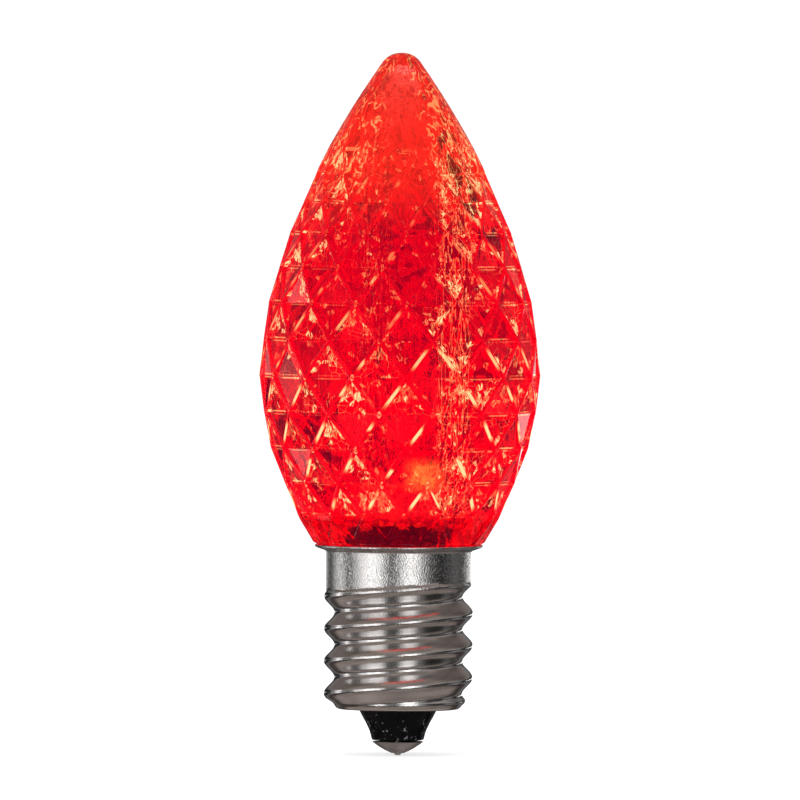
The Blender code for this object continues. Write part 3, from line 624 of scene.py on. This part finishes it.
def hollow_outline():
    foot = (HOLLOW_FOOT_RADIUS, LEDGE_Z)
    knee = (HOLLOW_TOP_RADIUS, HOLLOW_STRAIGHT_Z)
    tip = (0.7 * MM, HOLLOW_TOP_Z - 0.35 * MM)
    rise = tip[1] - knee[1]
    side = [tuple(a + (b - a) * i / 16 for a, b in zip(foot, knee)) for i in range(1, 16)]
    upper = bezier(
        knee,
        (knee[0] - 0.35 * MM, knee[1] + rise * 0.33),
        (tip[0] + knee[0] * 0.3, tip[1] - rise * 0.28),
        tip,
        14,
    )
    return side + upper


# What each face notes: a random number, whether it is a facet, its painted smear of light, its
# painted shade, the painted highlight on its crease, and on a rib whether it gets a painted
# highlight
NOTES = ("seed", "skin", "smear", "gloom", "edge", "lit")
DRAW_SEED = 16


def by_place(face):
    """A key that sorts faces by height and then round the axis, the same in every run."""
    middle = face.calc_center_median()
    return round(middle.z / MM, 3), round(math.atan2(middle.y, middle.x), 3)


def side_of(middle):
    """How far a place is to the left (-1) or right (+1), seen from the front or from the back."""
    return math.copysign(middle.x, -middle.y * middle.x) / BELLY[0]


def mark_facets(bm, facets):
    """Notes on each facet its painted light and shade and the place of its corners.

    On the left of the lamp it is the facets that point up which get a painted smear of light, and
    on the right those that point down, as if the diodes shone on them from the middle; the others
    mostly get painted shade.
    """
    seed, skin, smear, gloom, edge = (bm.faces.layers.float[name] for name in NOTES[:5])
    inside = bm.loops.layers.uv["facet"]
    draw = random.Random(DRAW_SEED)
    for face in facets:
        middle = face.calc_center_median()
        high = [loop for loop in face.loops if loop.vert.co.z > middle.z]
        upward = len(high) == 1
        side = side_of(middle)
        catches = (side < -0.25 and upward) or (side > 0.25 and not upward)
        face[seed] = draw.uniform(0, 100)
        face[skin] = 1.0
        # Painted light and shade of the facet: its smear of light, its gloom and the highlight on
        # its crease
        face[smear] = draw.uniform(0.2, 1.0) if catches else draw.choice((0, 0, 0, 0.3))
        face[gloom] = 0.0 if catches else draw.uniform(0.2, 1.0)
        face[edge] = min(max(abs(side) * 2 - 0.5, 0.0), 1.0) * draw.uniform(0.3, 1.0)
        apex = high[0] if upward else [p for p in face.loops if p not in high][0]
        apex[inside].uv = (0.5, 1.0)
        for loop in (apex.link_loop_next, apex.link_loop_prev):
            turn = loop.vert.co.x * middle.y - loop.vert.co.y * middle.x
            loop[inside].uv = (0.0 if turn > 0 else 1.0, 0.0)


def sink_diamonds(bm, facets):
    """Sinks each pair of triangles over a level edge, so that ribs stand between the pairs."""
    left = set(facets)
    for face in facets:
        if face not in left:
            continue
        left.discard(face)
        pair = [face]
        for edge in face.edges:
            pair += [other for other in edge.link_faces if is_level(edge) and other in left]
        left.difference_update(pair)
        if len(pair) == 1:
            continue
        size = {"thickness": RIB_WIDTH / 2, "depth": -RIB_HEIGHT}
        bmesh.ops.inset_region(bm, faces=pair, use_even_offset=True, use_boundary=True, **size)
        for vert in set(pair[0].verts) & set(pair[1].verts):
            vert.co.xy *= 1 - CREASE_DEPTH / vert.co.xy.length


def mark_ribs(bm, bands):
    """Notes the crown of each rounded edge and whether it gets a painted highlight, by its
    direction.
    """
    *facet_notes, lit = (bm.faces.layers.float[name] for name in NOTES[1:])
    inside = bm.loops.layers.uv["facet"]
    crown = bm.verts.layers.float["crown"]
    inner = {vert for face in bands for vert in face.verts if bands.issuperset(vert.link_faces)}
    for vert in inner:
        near = [edge.other_vert(vert) for edge in vert.link_edges]
        vert[crown] = 1.0 if inner.issuperset(near) else 0.5
    for face in bands:
        for layer in facet_notes:
            face[layer] = 0.0
        longest = max(face.edges, key=lambda edge: edge.calc_length())
        low, high = sorted(longest.verts, key=lambda vert: vert.co.z)
        middle = face.calc_center_median()
        for loop in face.loops:
            loop[inside].uv = (0.5, (loop.vert.co.z - low.co.z) / (high.co.z - low.co.z))
        # On each side, ribs that lean one way get the full painted highlight and the others a faint
        # one
        leans_right = (high.co - low.co).cross(middle).z < 0
        face[lit] = 1.0 if leans_right == (side_of(middle) < 0.25) else 0.12


def faceted_lens(surface):
    bm = bmesh.new()
    for name in NOTES:
        bm.faces.layers.float.new(name)
    bm.loops.layers.uv.new("facet")
    bm.verts.layers.float.new("crown")
    start = Matrix.Translation((0, 0, RIM_Z)) @ Matrix.Rotation(FACET_TURN, 4, "Z")
    bmesh.ops.create_circle(bm, segments=FACETS_AROUND, radius=rows[0][0], matrix=start)
    rim_ring = list(bm.edges)
    ring = rim_ring
    for radius, height in rows[1:]:
        ring = next_ring(bm, ring, radius, height, math.pi / FACETS_AROUND)
    bmesh.ops.triangulate(bm, faces=bm.faces, quad_method="SHORT_EDGE")
    facets = sorted(bm.faces, key=by_place)
    ridges = [edge for edge in bm.edges if not is_level(edge)]

    ring = divided_ring(bm, ring, 5, rows[-1][0])
    point = [p for p in flame if p[1] > rows[-1][1] + 0.5 * MM]
    for radius, height in point[:-13:3] + point[-13:]:
        ring = next_ring(bm, ring, radius, height)
    bmesh.ops.edgeloop_fill(bm, edges=ring)

    ring = divided_ring(bm, rim_ring, 5, rows[0][0])
    for vert in ring_points(ring):
        vert.co.z = RIM_FOOT_Z
    ring = next_ring(bm, ring, NECK_RADIUS, SHOULDER_Z)
    for radius, height in (
        (NECK_RADIUS, NECK_END_Z),
        (BORE_RADIUS, NECK_END_Z),
        (BORE_RADIUS, LEDGE_Z),
    ):
        ring = next_ring(bm, ring, radius, height)
    ring = divided_ring(bm, ring, 1, BORE_RADIUS)
    ring = next_ring(bm, ring, HOLLOW_FOOT_RADIUS, LEDGE_Z)
    flute(ring, HOLLOW_FOOT_RADIUS, FLUTE_DEPTH, 0.0)
    for i, (radius, height) in enumerate(hollow_outline()):
        ring = next_ring(bm, ring, radius, height)
        depth = FLUTE_DEPTH if height < HOLLOW_STRAIGHT_Z else FLUTE_DEPTH_IN_POINT
        flute(ring, radius, depth, FLUTE_SWAY * math.sin(2.1 * i))
    ring = next_ring(bm, ring, HOLLOW_END_RADIUS, HOLLOW_TOP_Z)
    bmesh.ops.edgeloop_fill(bm, edges=ring)

    bmesh.ops.recalc_face_normals(bm, faces=bm.faces)
    mark_facets(bm, facets)
    sink_diamonds(bm, facets)
    shape = {"affect": "EDGES", "offset": EDGE_ROUNDING, "segments": 4, "profile": 0.5}
    rounded = bmesh.ops.bevel(bm, geom=ridges, material=-1, **shape)
    mark_ribs(bm, set(rounded["faces"]))

    def is_facet(face):
        outside = face.calc_center_median().xy.length > BORE_RADIUS
        return outside and len(face.verts) == 3 and face.calc_area() > SMALLEST_FACET

    made_piece("faceted_lens", bm, [surface], "lens", is_facet)


faceted_lens(red_plastic())

# %% [markdown]
# ## The screw shell
#
# The shell is thin sheet, rolled between dies until a right-hand thread of ten turns to the inch
# stands up in it. A Screw modifier would sweep a thread's section along a helix, but then the
# thread's ends and the plain skirt would have to be joined on. Here the wall is spun plain, with
# enough rows, and each point is then moved outwards by a wave of its own height and angle, which
# fades out at both ends as the dies leave the sheet.

# %% The rolled screw shell
SHEET = 0.25 * MM
SHELL_FOOT_Z = 3.61 * MM
THREAD_TOP_Z = 13.2 * MM
FLARE_Z = 16.06 * MM
THREAD_ROOT = 5.03 * MM
SKIRT_RADIUS = 5.73 * MM
HEM_HOLE_RADIUS = 3.19 * MM
THREAD_DEPTH = 0.82 * MM
THREAD_PITCH = 2.54 * MM
THREAD_START_Z = SHELL_FOOT_Z + 5.05 * MM
HEM_RADIUS = 0.5 * MM
THREAD_FADE = 0.6 * MM
THREAD_END_FADE = 0.5 * MM
SKIRT_LEAN = 0.28 * MM
SKIRT_LEAN_ANGLE = math.radians(-47)
WALL_ROWS = 108
SHELL_STEPS = 180


def smoothstep(x):
    x = min(max(x, 0.0), 1.0)
    return x * x * (3 - 2 * x)


def thread_wave(angle, height):
    turn = (height - THREAD_START_Z) / THREAD_PITCH - angle / math.tau
    wave = 0.5 + 0.5 * math.cos(math.tau * turn)
    start = smoothstep((height - SHELL_FOOT_Z - HEM_RADIUS / 2) / THREAD_FADE)
    return THREAD_DEPTH * wave * start


def screw_shell(surface):
    hem = (THREAD_ROOT - HEM_RADIUS, SHELL_FOOT_Z + HEM_RADIUS)
    wall = [hem[1] + (FLARE_Z - hem[1]) * i / WALL_ROWS for i in range(1, WALL_ROWS)]
    skirt_rise = SKIRT_RADIUS - THREAD_ROOT
    outside = [(HEM_HOLE_RADIUS, SHELL_FOOT_Z)] + arc(hem, HEM_RADIUS, -90, 0, 8)
    outside += [(THREAD_ROOT, z) for z in wall]
    outside += [
        (THREAD_ROOT, FLARE_Z - 0.05 * MM),
        (THREAD_ROOT + 0.06 * MM, FLARE_Z + 0.02 * MM),
        (6.50 * MM - skirt_rise, 16.32 * MM),
    ]
    rim = (6.485 * MM - skirt_rise, 16.44 * MM)
    outside += arc(rim, 0.12 * MM, -30, 90, 5)
    inside = [(HEM_HOLE_RADIUS, SHELL_FOOT_Z + SHEET)] + arc(hem, HEM_RADIUS - SHEET, -90, 0, 4)
    inside += [(THREAD_ROOT - SHEET, z) for z in wall[::3]]
    inside += [(THREAD_ROOT - SHEET, 16.16 * MM)]
    bm = spun(outside + inside[::-1], SHELL_STEPS)
    for vert in bm.verts:
        height = vert.co.z
        if height < SHELL_FOOT_Z + HEM_RADIUS / 2:
            continue
        radius = vert.co.xy.length
        angle = math.atan2(vert.co.y, vert.co.x)
        edge = THREAD_TOP_Z + SKIRT_LEAN * math.cos(angle - SKIRT_LEAN_ANGLE)
        plain = smoothstep((height - edge + THREAD_FADE) / THREAD_FADE)
        past = smoothstep((height - edge) / THREAD_END_FADE)
        rise = max(thread_wave(angle, height) * (1 - past), skirt_rise * plain)
        vert.co.xy *= (radius + rise) / radius
    made_piece("rolled_shell", bm, [surface], "screw_shell")


NICKEL_DARK = (0.60, 0.58, 0.57, 1)
NICKEL_LIGHT = (0.69, 0.675, 0.665, 1)


def nickel_plate():
    """Warm nickel over rolled sheet, with a fine grain that is strongest on the plain skirt."""
    finish, place = new_finish("nickel_plate")
    speckle = finish.noise(place, 11500.0, 0.0, 0.5)
    dents = finish.noise(place, 1700.0, 3.0, 0.5)
    blotch = finish.noise(place, 260.0, 3.0, 0.6)
    skirt = finish.between(finish.axis(place, 2) * MM_PER_METRE, 12.6, 13.4)
    relief = (speckle + dents * 0.1) * (0.3 + 0.7 * skirt)
    sockets = {
        "Base Color": finish.mix(finish.between(blotch, 0.3, 0.7), NICKEL_DARK, NICKEL_LIGHT),
        "Metallic": 1.0,
        "Roughness": 0.13 - 0.03 * skirt + 0.05 * finish.between(speckle, 0.35, 0.75),
        "Normal": finish.bump(relief, 0.00003, 0.7),
    }
    return finish.principled(sockets)


screw_shell(nickel_plate())

# %% [markdown]
# ## The insulator and the contact
#
# Below the shell comes a glossy black cone of insulating plastic, and under it the centre contact,
# a dished cap of tinned metal whose hole is closed with a drop of solder. All three are turned
# forms, so a spun outline makes each of them. The cone has a softly rounded lower edge, the cap has
# a gently curved wall, and the solder ends in a small uneven nub. The black plastic has picked up
# pale specks of dust and flux, most of them near its foot.

# %% Insulator, contact and solder
CONE_FOOT_Z = 1.2 * MM
CONE_HOLE_RADIUS = 0.55 * MM
GRIPPED_RADIUS = 3.06 * MM
PLUG_RADIUS = 4.10 * MM
CAP_HOLE = (0.5 * MM, 0.18 * MM)
CAP_EDGE = (1.98 * MM, 1.04 * MM)
CAP_CURVE = 6.0 * MM
CAP_SHEET = 0.22 * MM


def arc_between(low, high, radius, count):
    """Points on an arc that bulges down and out, from its high end in to its low end."""
    across = Vector(high) - Vector(low)
    reach = math.sqrt(radius**2 / across.length_squared - 0.25)
    centre = (Vector(low) + Vector(high)) / 2 + Vector((-across.y, across.x)) * reach
    start, end = (math.degrees(math.atan2(z - centre.y, r - centre.x)) for r, z in (high, low))
    return arc(centre, radius, start, end, count)


def insulator(surface):
    outline = [
        (CONE_HOLE_RADIUS, CONE_FOOT_Z),
        (1.88 * MM, CONE_FOOT_Z),
        *arc((1.92 * MM, CONE_FOOT_Z + 0.14 * MM), 0.14 * MM, -90, -22, 5),
        (2.22 * MM, CONE_FOOT_Z + 0.72 * MM),
        (2.50 * MM, CONE_FOOT_Z + 1.32 * MM),
        (2.80 * MM, CONE_FOOT_Z + 1.86 * MM),
        (3.02 * MM, SHELL_FOOT_Z - 0.12 * MM),
        *arc((2.99 * MM, SHELL_FOOT_Z - 0.06 * MM), 0.1 * MM, -22, 60, 4),
        (GRIPPED_RADIUS, SHELL_FOOT_Z + 0.1 * MM),
        (GRIPPED_RADIUS, SHELL_FOOT_Z + 0.36 * MM),
        (PLUG_RADIUS, SHELL_FOOT_Z + 0.36 * MM),
        (PLUG_RADIUS, SHELL_FOOT_Z + 1.5 * MM),
        (CONE_HOLE_RADIUS, SHELL_FOOT_Z + 1.5 * MM),
    ]
    made_piece("insulator_cone", spun(outline, 96), [surface], "base_insulator")


def contact(surface):
    """A dish of thin sheet: the rim, the wall outside down to the hole, and the wall inside."""
    hole = (CAP_HOLE[0], CAP_HOLE[1] + CAP_SHEET)
    top = (CAP_EDGE[0] - 0.42 * MM, CAP_EDGE[1] + 0.06 * MM)
    outline = [
        (CAP_EDGE[0] - 0.03 * MM, top[1]),
        (CAP_EDGE[0] + 0.01 * MM, CAP_EDGE[1] + 0.03 * MM),
    ]
    outline += arc_between(CAP_HOLE, CAP_EDGE, CAP_CURVE, 14)
    outline += arc_between(hole, top, CAP_CURVE, 8)[::-1]
    made_piece("contact_dome", spun(outline, 72), [surface], "contact_cap")


def solder_nub(surface):
    outline = [
        (0, 0),
        (0.14 * MM, 0.004 * MM),
        (0.21 * MM, 0.04 * MM),
        (0.25 * MM, 0.1 * MM),
        (0.30 * MM, 0.15 * MM),
        (0.40 * MM, 0.20 * MM),
        (0.40 * MM, 0.58 * MM),
        (0, 0.58 * MM),
    ]
    made_piece("solder_nub", spun(outline, 32), [surface], "solder_tip")


GLOSSY_BLACK = (0.003, 0.003, 0.004, 1)
PALE_DUST = (0.30, 0.31, 0.32, 1)


def black_moulding():
    """Glossy black plastic with specks of dust, which lie in patches and thin out upwards."""
    finish, place = new_finish("black_moulding")
    height = finish.axis(place, 2) * MM_PER_METRE
    dust = finish.between(finish.noise(place, 3300.0, 3.0, 0.65), 0.60, 0.68)
    patch = finish.between(finish.noise(place, 800.0, 1.0), 0.42, 0.54)
    specks = dust * patch * (1.0 - 0.7 * finish.between(height, 1.6, 3.4))
    swirl = finish.noise(place, 1100.0, 3.0, 0.6)
    sockets = {
        "Base Color": finish.mix(specks, GLOSSY_BLACK, PALE_DUST),
        "Roughness": 0.10 + 0.14 * swirl + 0.4 * specks,
        "Specular IOR Level": 0.12,
        "Normal": finish.bump(swirl, 0.00008, 0.5),
    }
    return finish.principled(sockets)


def dull_metal(name, color, roughness, grain):
    """Tinned metal or solder: a soft sheen, cloudy patches and a fine uneven skin."""
    finish, place = new_finish(name)
    cloud = finish.noise(place, grain / 4, 3.0, 0.6)
    skin = finish.noise(place, grain, 3.0, 0.6)
    darker = tuple(part * 0.5 for part in color)
    sockets = {
        "Base Color": finish.mix(finish.between(cloud, 0.3, 0.7), (*darker, 1), (*color, 1)),
        "Metallic": 1.0,
        "Roughness": roughness + 0.18 * cloud,
        "Normal": finish.bump(skin, 0.00004, 0.5),
    }
    return finish.principled(sockets)


solder = dull_metal("dull_solder", (0.66, 0.66, 0.67), 0.28, 6000.0)
insulator(black_moulding())
contact(dull_metal("tinned_contact", (0.56, 0.56, 0.56), 0.22, 3600.0))
solder_nub(solder)

# %% [markdown]
# ## The diodes in the hollow
#
# Each diode is a small epoxy barrel with a flange at its foot and a dome on top. Through the facets
# they show only as hot spots and smears of light, but from close by and from above they are seen
# through the wall, so they get their real form: a dome, a barrel and a flange with one flat side,
# spun and then cut with a plane. The epoxy glows orange-red, brightest in the dome.

# %% The light-emitting diodes
LED_FOOT_Z = 18.76 * MM
LED_HEIGHT = 4.4 * MM
LED_RADIUS = 1.47 * MM
LED_FLANGE = 1.53 * MM
LED_FLANGE_HEIGHT = 0.66 * MM
LED_BARREL_FOOT = 0.7 * MM
LED_FLAT = 1.505 * MM
LED_CIRCLE = 1.833 * MM
DIM_GLOW = (0.2, 0.024, 0.006, 1)
HOT_GLOW = (1.0, 0.34, 0.10, 1)


def glowing_epoxy():
    """Red epoxy that glows, dark in the flange and hot in the dome."""
    finish, place = new_finish("glowing_epoxy")
    height = finish.axis(place, 2) * MM_PER_METRE
    haze = finish.noise(place, 700.0, 2.0)
    hot = finish.between(height + haze * 0.8, 21.9, 23.6)
    sockets = {
        "Base Color": (0.80, 0.06, 0.03, 1),
        "Roughness": 0.12 + 0.1 * haze,
        "Emission Color": finish.mix(hot, DIM_GLOW, HOT_GLOW),
        "Emission Strength": 3.5,
    }
    return finish.principled(sockets)


def diode_lamp(index, surface):
    """Spins one diode on the Z axis, cuts its flat and moves it to its place on the board."""
    angle = math.tau * (index + 0.5) / 3
    dome_z = LED_FOOT_Z + LED_HEIGHT - LED_RADIUS
    outline = [
        (0, LED_FOOT_Z),
        (LED_FLANGE, LED_FOOT_Z),
        (LED_FLANGE, LED_FOOT_Z + LED_FLANGE_HEIGHT),
        (LED_RADIUS, LED_FOOT_Z + LED_BARREL_FOOT),
        *arc((0, dome_z), LED_RADIUS, 0, 84, 10),
        (0, dome_z + LED_RADIUS),
    ]
    bm = spun(outline, 40)
    whole = list(bm.verts) + list(bm.edges) + list(bm.faces)
    plane = {"plane_co": (LED_FLAT, 0, 0), "plane_no": (1, 0, 0), "clear_outer": True}
    cut = bmesh.ops.bisect_plane(bm, geom=whole, **plane)
    open_edges = [part for part in cut["geom_cut"] if isinstance(part, bmesh.types.BMEdge)]
    bmesh.ops.edgeloop_fill(bm, edges=open_edges)
    turn = Matrix.Rotation(angle + math.pi / 2, 3, "Z")
    bmesh.ops.rotate(bm, matrix=turn, verts=bm.verts)
    where = Vector((math.cos(angle), math.sin(angle), 0)) * LED_CIRCLE
    bmesh.ops.translate(bm, vec=where, verts=bm.verts)
    name = f"led_{index + 1}"
    made_piece(name + "_epoxy", bm, [surface], name)


epoxy = glowing_epoxy()
for index in range(3):
    diode_lamp(index, epoxy)

# %% [markdown]
# ## The pieces hidden in the base
#
# The board, the resistor, the rectifier, the leads and the glue keep the solids that they came
# with, because only someone who looks up into the base or cuts it open sees them. Each still gets a
# finish of its own: dark green board, enamel, black moulding, tinned wire, solder and glue.

# %% Finishes for the hidden pieces
def speckled(name, dark, light, roughness, scale, depth):
    """A plain finish in two close colours with a fine uneven skin."""
    finish, place = new_finish(name)
    cloud = finish.noise(place, scale, 3.0, 0.6)
    fine = finish.noise(place, scale * 5, 2.0, 0.5)
    sockets = {
        "Base Color": finish.mix(finish.between(cloud, 0.35, 0.65), (*dark, 1), (*light, 1)),
        "Roughness": roughness + 0.2 * fine,
        "Normal": finish.bump(fine, depth, 0.4),
    }
    return finish.principled(sockets)


# Each finish: its name, its dark and its light colour, its roughness, the scale of its clouds and
# the depth of its relief in metres
HIDDEN = {
    "adhesive_bead": ("cured_glue", (0.7, 0.64, 0.52), (0.82, 0.78, 0.68), 0.35, 500.0, 0.0001),
    "led_board": ("coated_board", (0.01, 0.04, 0.02), (0.02, 0.07, 0.035), 0.3, 300.0, 0.00003),
    "resistor": ("enamel", (0.48, 0.36, 0.2), (0.6, 0.47, 0.28), 0.25, 400.0, 0.00004),
    "diode": ("black_epoxy", (0.012,) * 3, (0.03,) * 3, 0.3, 600.0, 0.00003),
}
wire = dull_metal("tinned_wire", (0.72, 0.71, 0.68), 0.2, 5000.0)
hidden_finishes = {name: speckled(*values) for name, values in HIDDEN.items()}
for name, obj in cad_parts.items():
    if name in hidden_finishes:
        surface = hidden_finishes[name]
    elif name.endswith("_solder"):
        surface = solder
    elif name.endswith(("anode", "cathode", "_lead", "_wire")):
        surface = wire
    else:
        continue
    obj.data.materials.clear()
    obj.data.materials.append(surface)
    print(name, "is finished in", surface.name)

# %% [markdown]
# ## Floor, lamps and reflections
#
# The lamp stands on its contact on a plain white floor, in the middle of a soft white studio. Two
# upright soft boxes and one overhead give the plain light, and mirrors do not see them.

# %% Floor, world and soft boxes
FLOOR_RADIUS = 40.0
LIT_POINT = Vector((0, 0, 28 * MM))


def stage_piece(name, bm, surface):
    mesh = bpy.data.meshes.new(name)
    bm.to_mesh(mesh)
    bm.free()
    mesh.materials.append(surface)
    obj = bpy.data.objects.new(name, mesh)
    bpy.context.collection.objects.link(obj)
    return obj


def studio_floor():
    """White paper that is also lit from within for the camera alone, so that it stays plain."""
    finish = Finish(bpy.data.materials.new("floor_paper"))
    seen = finish.node("ShaderNodeLightPath", output="Is Camera Ray")
    sockets = {
        "Base Color": (0.85, 0.85, 0.85, 1),
        "Roughness": 0.9,
        "Specular IOR Level": 0.1,
        "Emission Color": WHITE,
        "Emission Strength": 0.54 * seen,
    }
    bm = bmesh.new()
    bmesh.ops.create_circle(bm, cap_ends=True, segments=64, radius=FLOOR_RADIUS)
    floor = stage_piece("floor", bm, finish.principled(sockets))
    floor.visible_glossy = False


def white_world():
    """A white sky, dimmer in the light that it casts than it looks."""
    world = bpy.data.worlds.new("white_studio")
    bpy.context.scene.world = world
    finish = Finish(world)
    seen = finish.node("ShaderNodeLightPath", output="Is Camera Ray")
    glossy = finish.node("ShaderNodeLightPath", output="Is Glossy Ray")
    through = finish.node("ShaderNodeLightPath", output="Is Transmission Ray")
    strength = 0.6 + 0.4 * seen.larger(glossy).larger(through)
    sockets = {"Color": WHITE, "Strength": strength}
    background = finish.node("ShaderNodeBackground", None, sockets)
    finish.node("ShaderNodeOutputWorld", None, {"Surface": background})


def soft_box(name, azimuth, elevation, distance, width, height, radiance):
    """An area lamp that faces the lens, at angles in degrees from the camera's direction."""
    data = bpy.data.lights.new(name, "AREA")
    data.shape = "RECTANGLE"
    data.size = width
    data.size_y = height
    data.energy = radiance * math.pi * width * height
    obj = bpy.data.objects.new(name, data)
    bpy.context.collection.objects.link(obj)
    around = math.radians(azimuth - 90)
    up = math.radians(elevation)
    away = Vector((math.cos(around) * math.cos(up), math.sin(around) * math.cos(up), math.sin(up)))
    obj.location = LIT_POINT + away * distance
    obj.rotation_euler = away.to_track_quat("Z", "Y").to_euler()
    obj.visible_camera = False
    obj.visible_glossy = False
    obj.visible_transmission = False


studio_floor()
white_world()
soft_box("key_box", -40, 20, 1.0, 0.5, 0.9, 2.2)
soft_box("fill_box", 35, 15, 1.0, 0.4, 0.9, 1.6)
soft_box("top_box", 0, 78, 0.9, 0.6, 0.6, 2.0)
print("the studio has a floor", FLOOR_RADIUS, "m in radius and three soft boxes")

# %% [markdown]
# What makes nickel and clear plastic look real is what they mirror and what shines through them, so
# a drum of paper stands round the lamp, which only they see. Mirrors see white cards with soft
# edges round its middle and a drifting warm grey above and below them. Straight behind the lamp the
# paper is dark apart from a low slot, because the upper edges of the lens mirror it at a grazing
# angle and would turn pale. Through the lens it looks like clouds with a few bright spots, which
# the facets break up.

# %% The ring of paper
RING_RADIUS = 0.6
RING_HEIGHT = 1.1
RING_MIDDLE_Z = 0.1
WARM_GREY = (0.28, 0.235, 0.215, 1)

# Each card: the direction of its middle, half its width, the half width with its soft edges, and
# how bright it is
CARDS = [
    (-43, 9, 26, 1.45),
    (-66, 3, 14, 0.85),
    (-107, 3, 9, 1.3),
    (-118, 6, 18, 0.25),
    (-175, 8, 32, 1.0),
    (19, 4, 24, 1.5),
    (42, 2, 16, 0.2),
    (155, 17, 26, 1.7),
    (105, 5, 20, 0.14),
]


def card_tones(finish, angle):
    """The tone of the paper round the drum: a grey that is darker on the right, and the cards."""
    tone = 0.14 - 0.11 * finish.between(angle, -30, 40)
    for middle, full, whole, level in CARDS:
        past_seam = finish.between(angle * math.copysign(1, -middle), 90, 91) * 360.0
        away = angle + math.copysign(1, middle) * past_seam - middle
        tone = tone.larger(finish.span(away, full, whole) * level)
    return tone


def reflection_ring():
    """A drum of paper that only mirrors and clear plastic see, with bright cards round it."""
    finish, place = new_finish("ring_paper")
    x = finish.axis(place, 0)
    towards_camera = 0.0 - finish.axis(place, 1)
    angle = finish.node("ShaderNodeMath", {"operation": "ARCTAN2"}, {0: x, 1: towards_camera})
    angle = angle * math.degrees(1)
    level = finish.axis(place, 2)

    # The cards, brighter where they are seen aslant and dark behind the lamp apart from a slot
    tone = card_tones(finish, angle) * (1.0 + 0.8 * finish.between(abs(level), 0.07, 0.12))
    behind = finish.between(abs(angle), 125, 135)
    slot = finish.span(level + 0.012, 0.016, 0.022)
    tone = tone * (1.0 - 0.96 * behind * (1.0 - slot))

    # The drifting grey above and below them, dimmer in a belt and high up at the sides
    belt = finish.span(level + 0.29, 0.06, 0.13)
    aside = finish.between(abs(angle), 80, 105)
    above = finish.between(level, 0.08, 0.14)
    drift = (0.1 + 1.8 * finish.noise(place, 3.0, 1.0)) * (1.0 - 0.8 * belt)
    drift = drift * (1.0 - 0.4 * aside * above)
    middle_band = finish.span(level + 0.014, 0.12, 0.24)
    mirrored = drift + middle_band * (tone - drift)
    color = finish.mix(middle_band, WARM_GREY, WHITE)

    # What is seen through the lens
    through = finish.node("ShaderNodeLightPath", output="Is Transmission Ray")
    spots = finish.between(finish.noise(place, 14.0, 1.0), 0.60, 0.70)
    cloud = finish.between(finish.noise(place, 5.0, 1.0), 0.36, 0.58)
    scene_behind = 0.22 + 0.66 * cloud + 12.0 * spots
    sockets = {
        "Color": finish.mix(through, color, WHITE),
        "Strength": mirrored + through * (scene_behind - mirrored),
    }
    paper = finish.output(finish.node("ShaderNodeEmission", None, sockets))
    bm = bmesh.new()
    bmesh.ops.create_cone(
        bm, cap_ends=True, segments=96, radius1=RING_RADIUS, radius2=RING_RADIUS, depth=RING_HEIGHT
    )
    bmesh.ops.translate(bm, vec=(0, 0, RING_MIDDLE_Z), verts=bm.verts)
    ring = stage_piece("reflection_ring", bm, paper)
    ring.visible_camera = False
    ring.visible_diffuse = False
    ring.visible_shadow = False


reflection_ring()
print("the ring of paper has", len(CARDS), "bright cards")
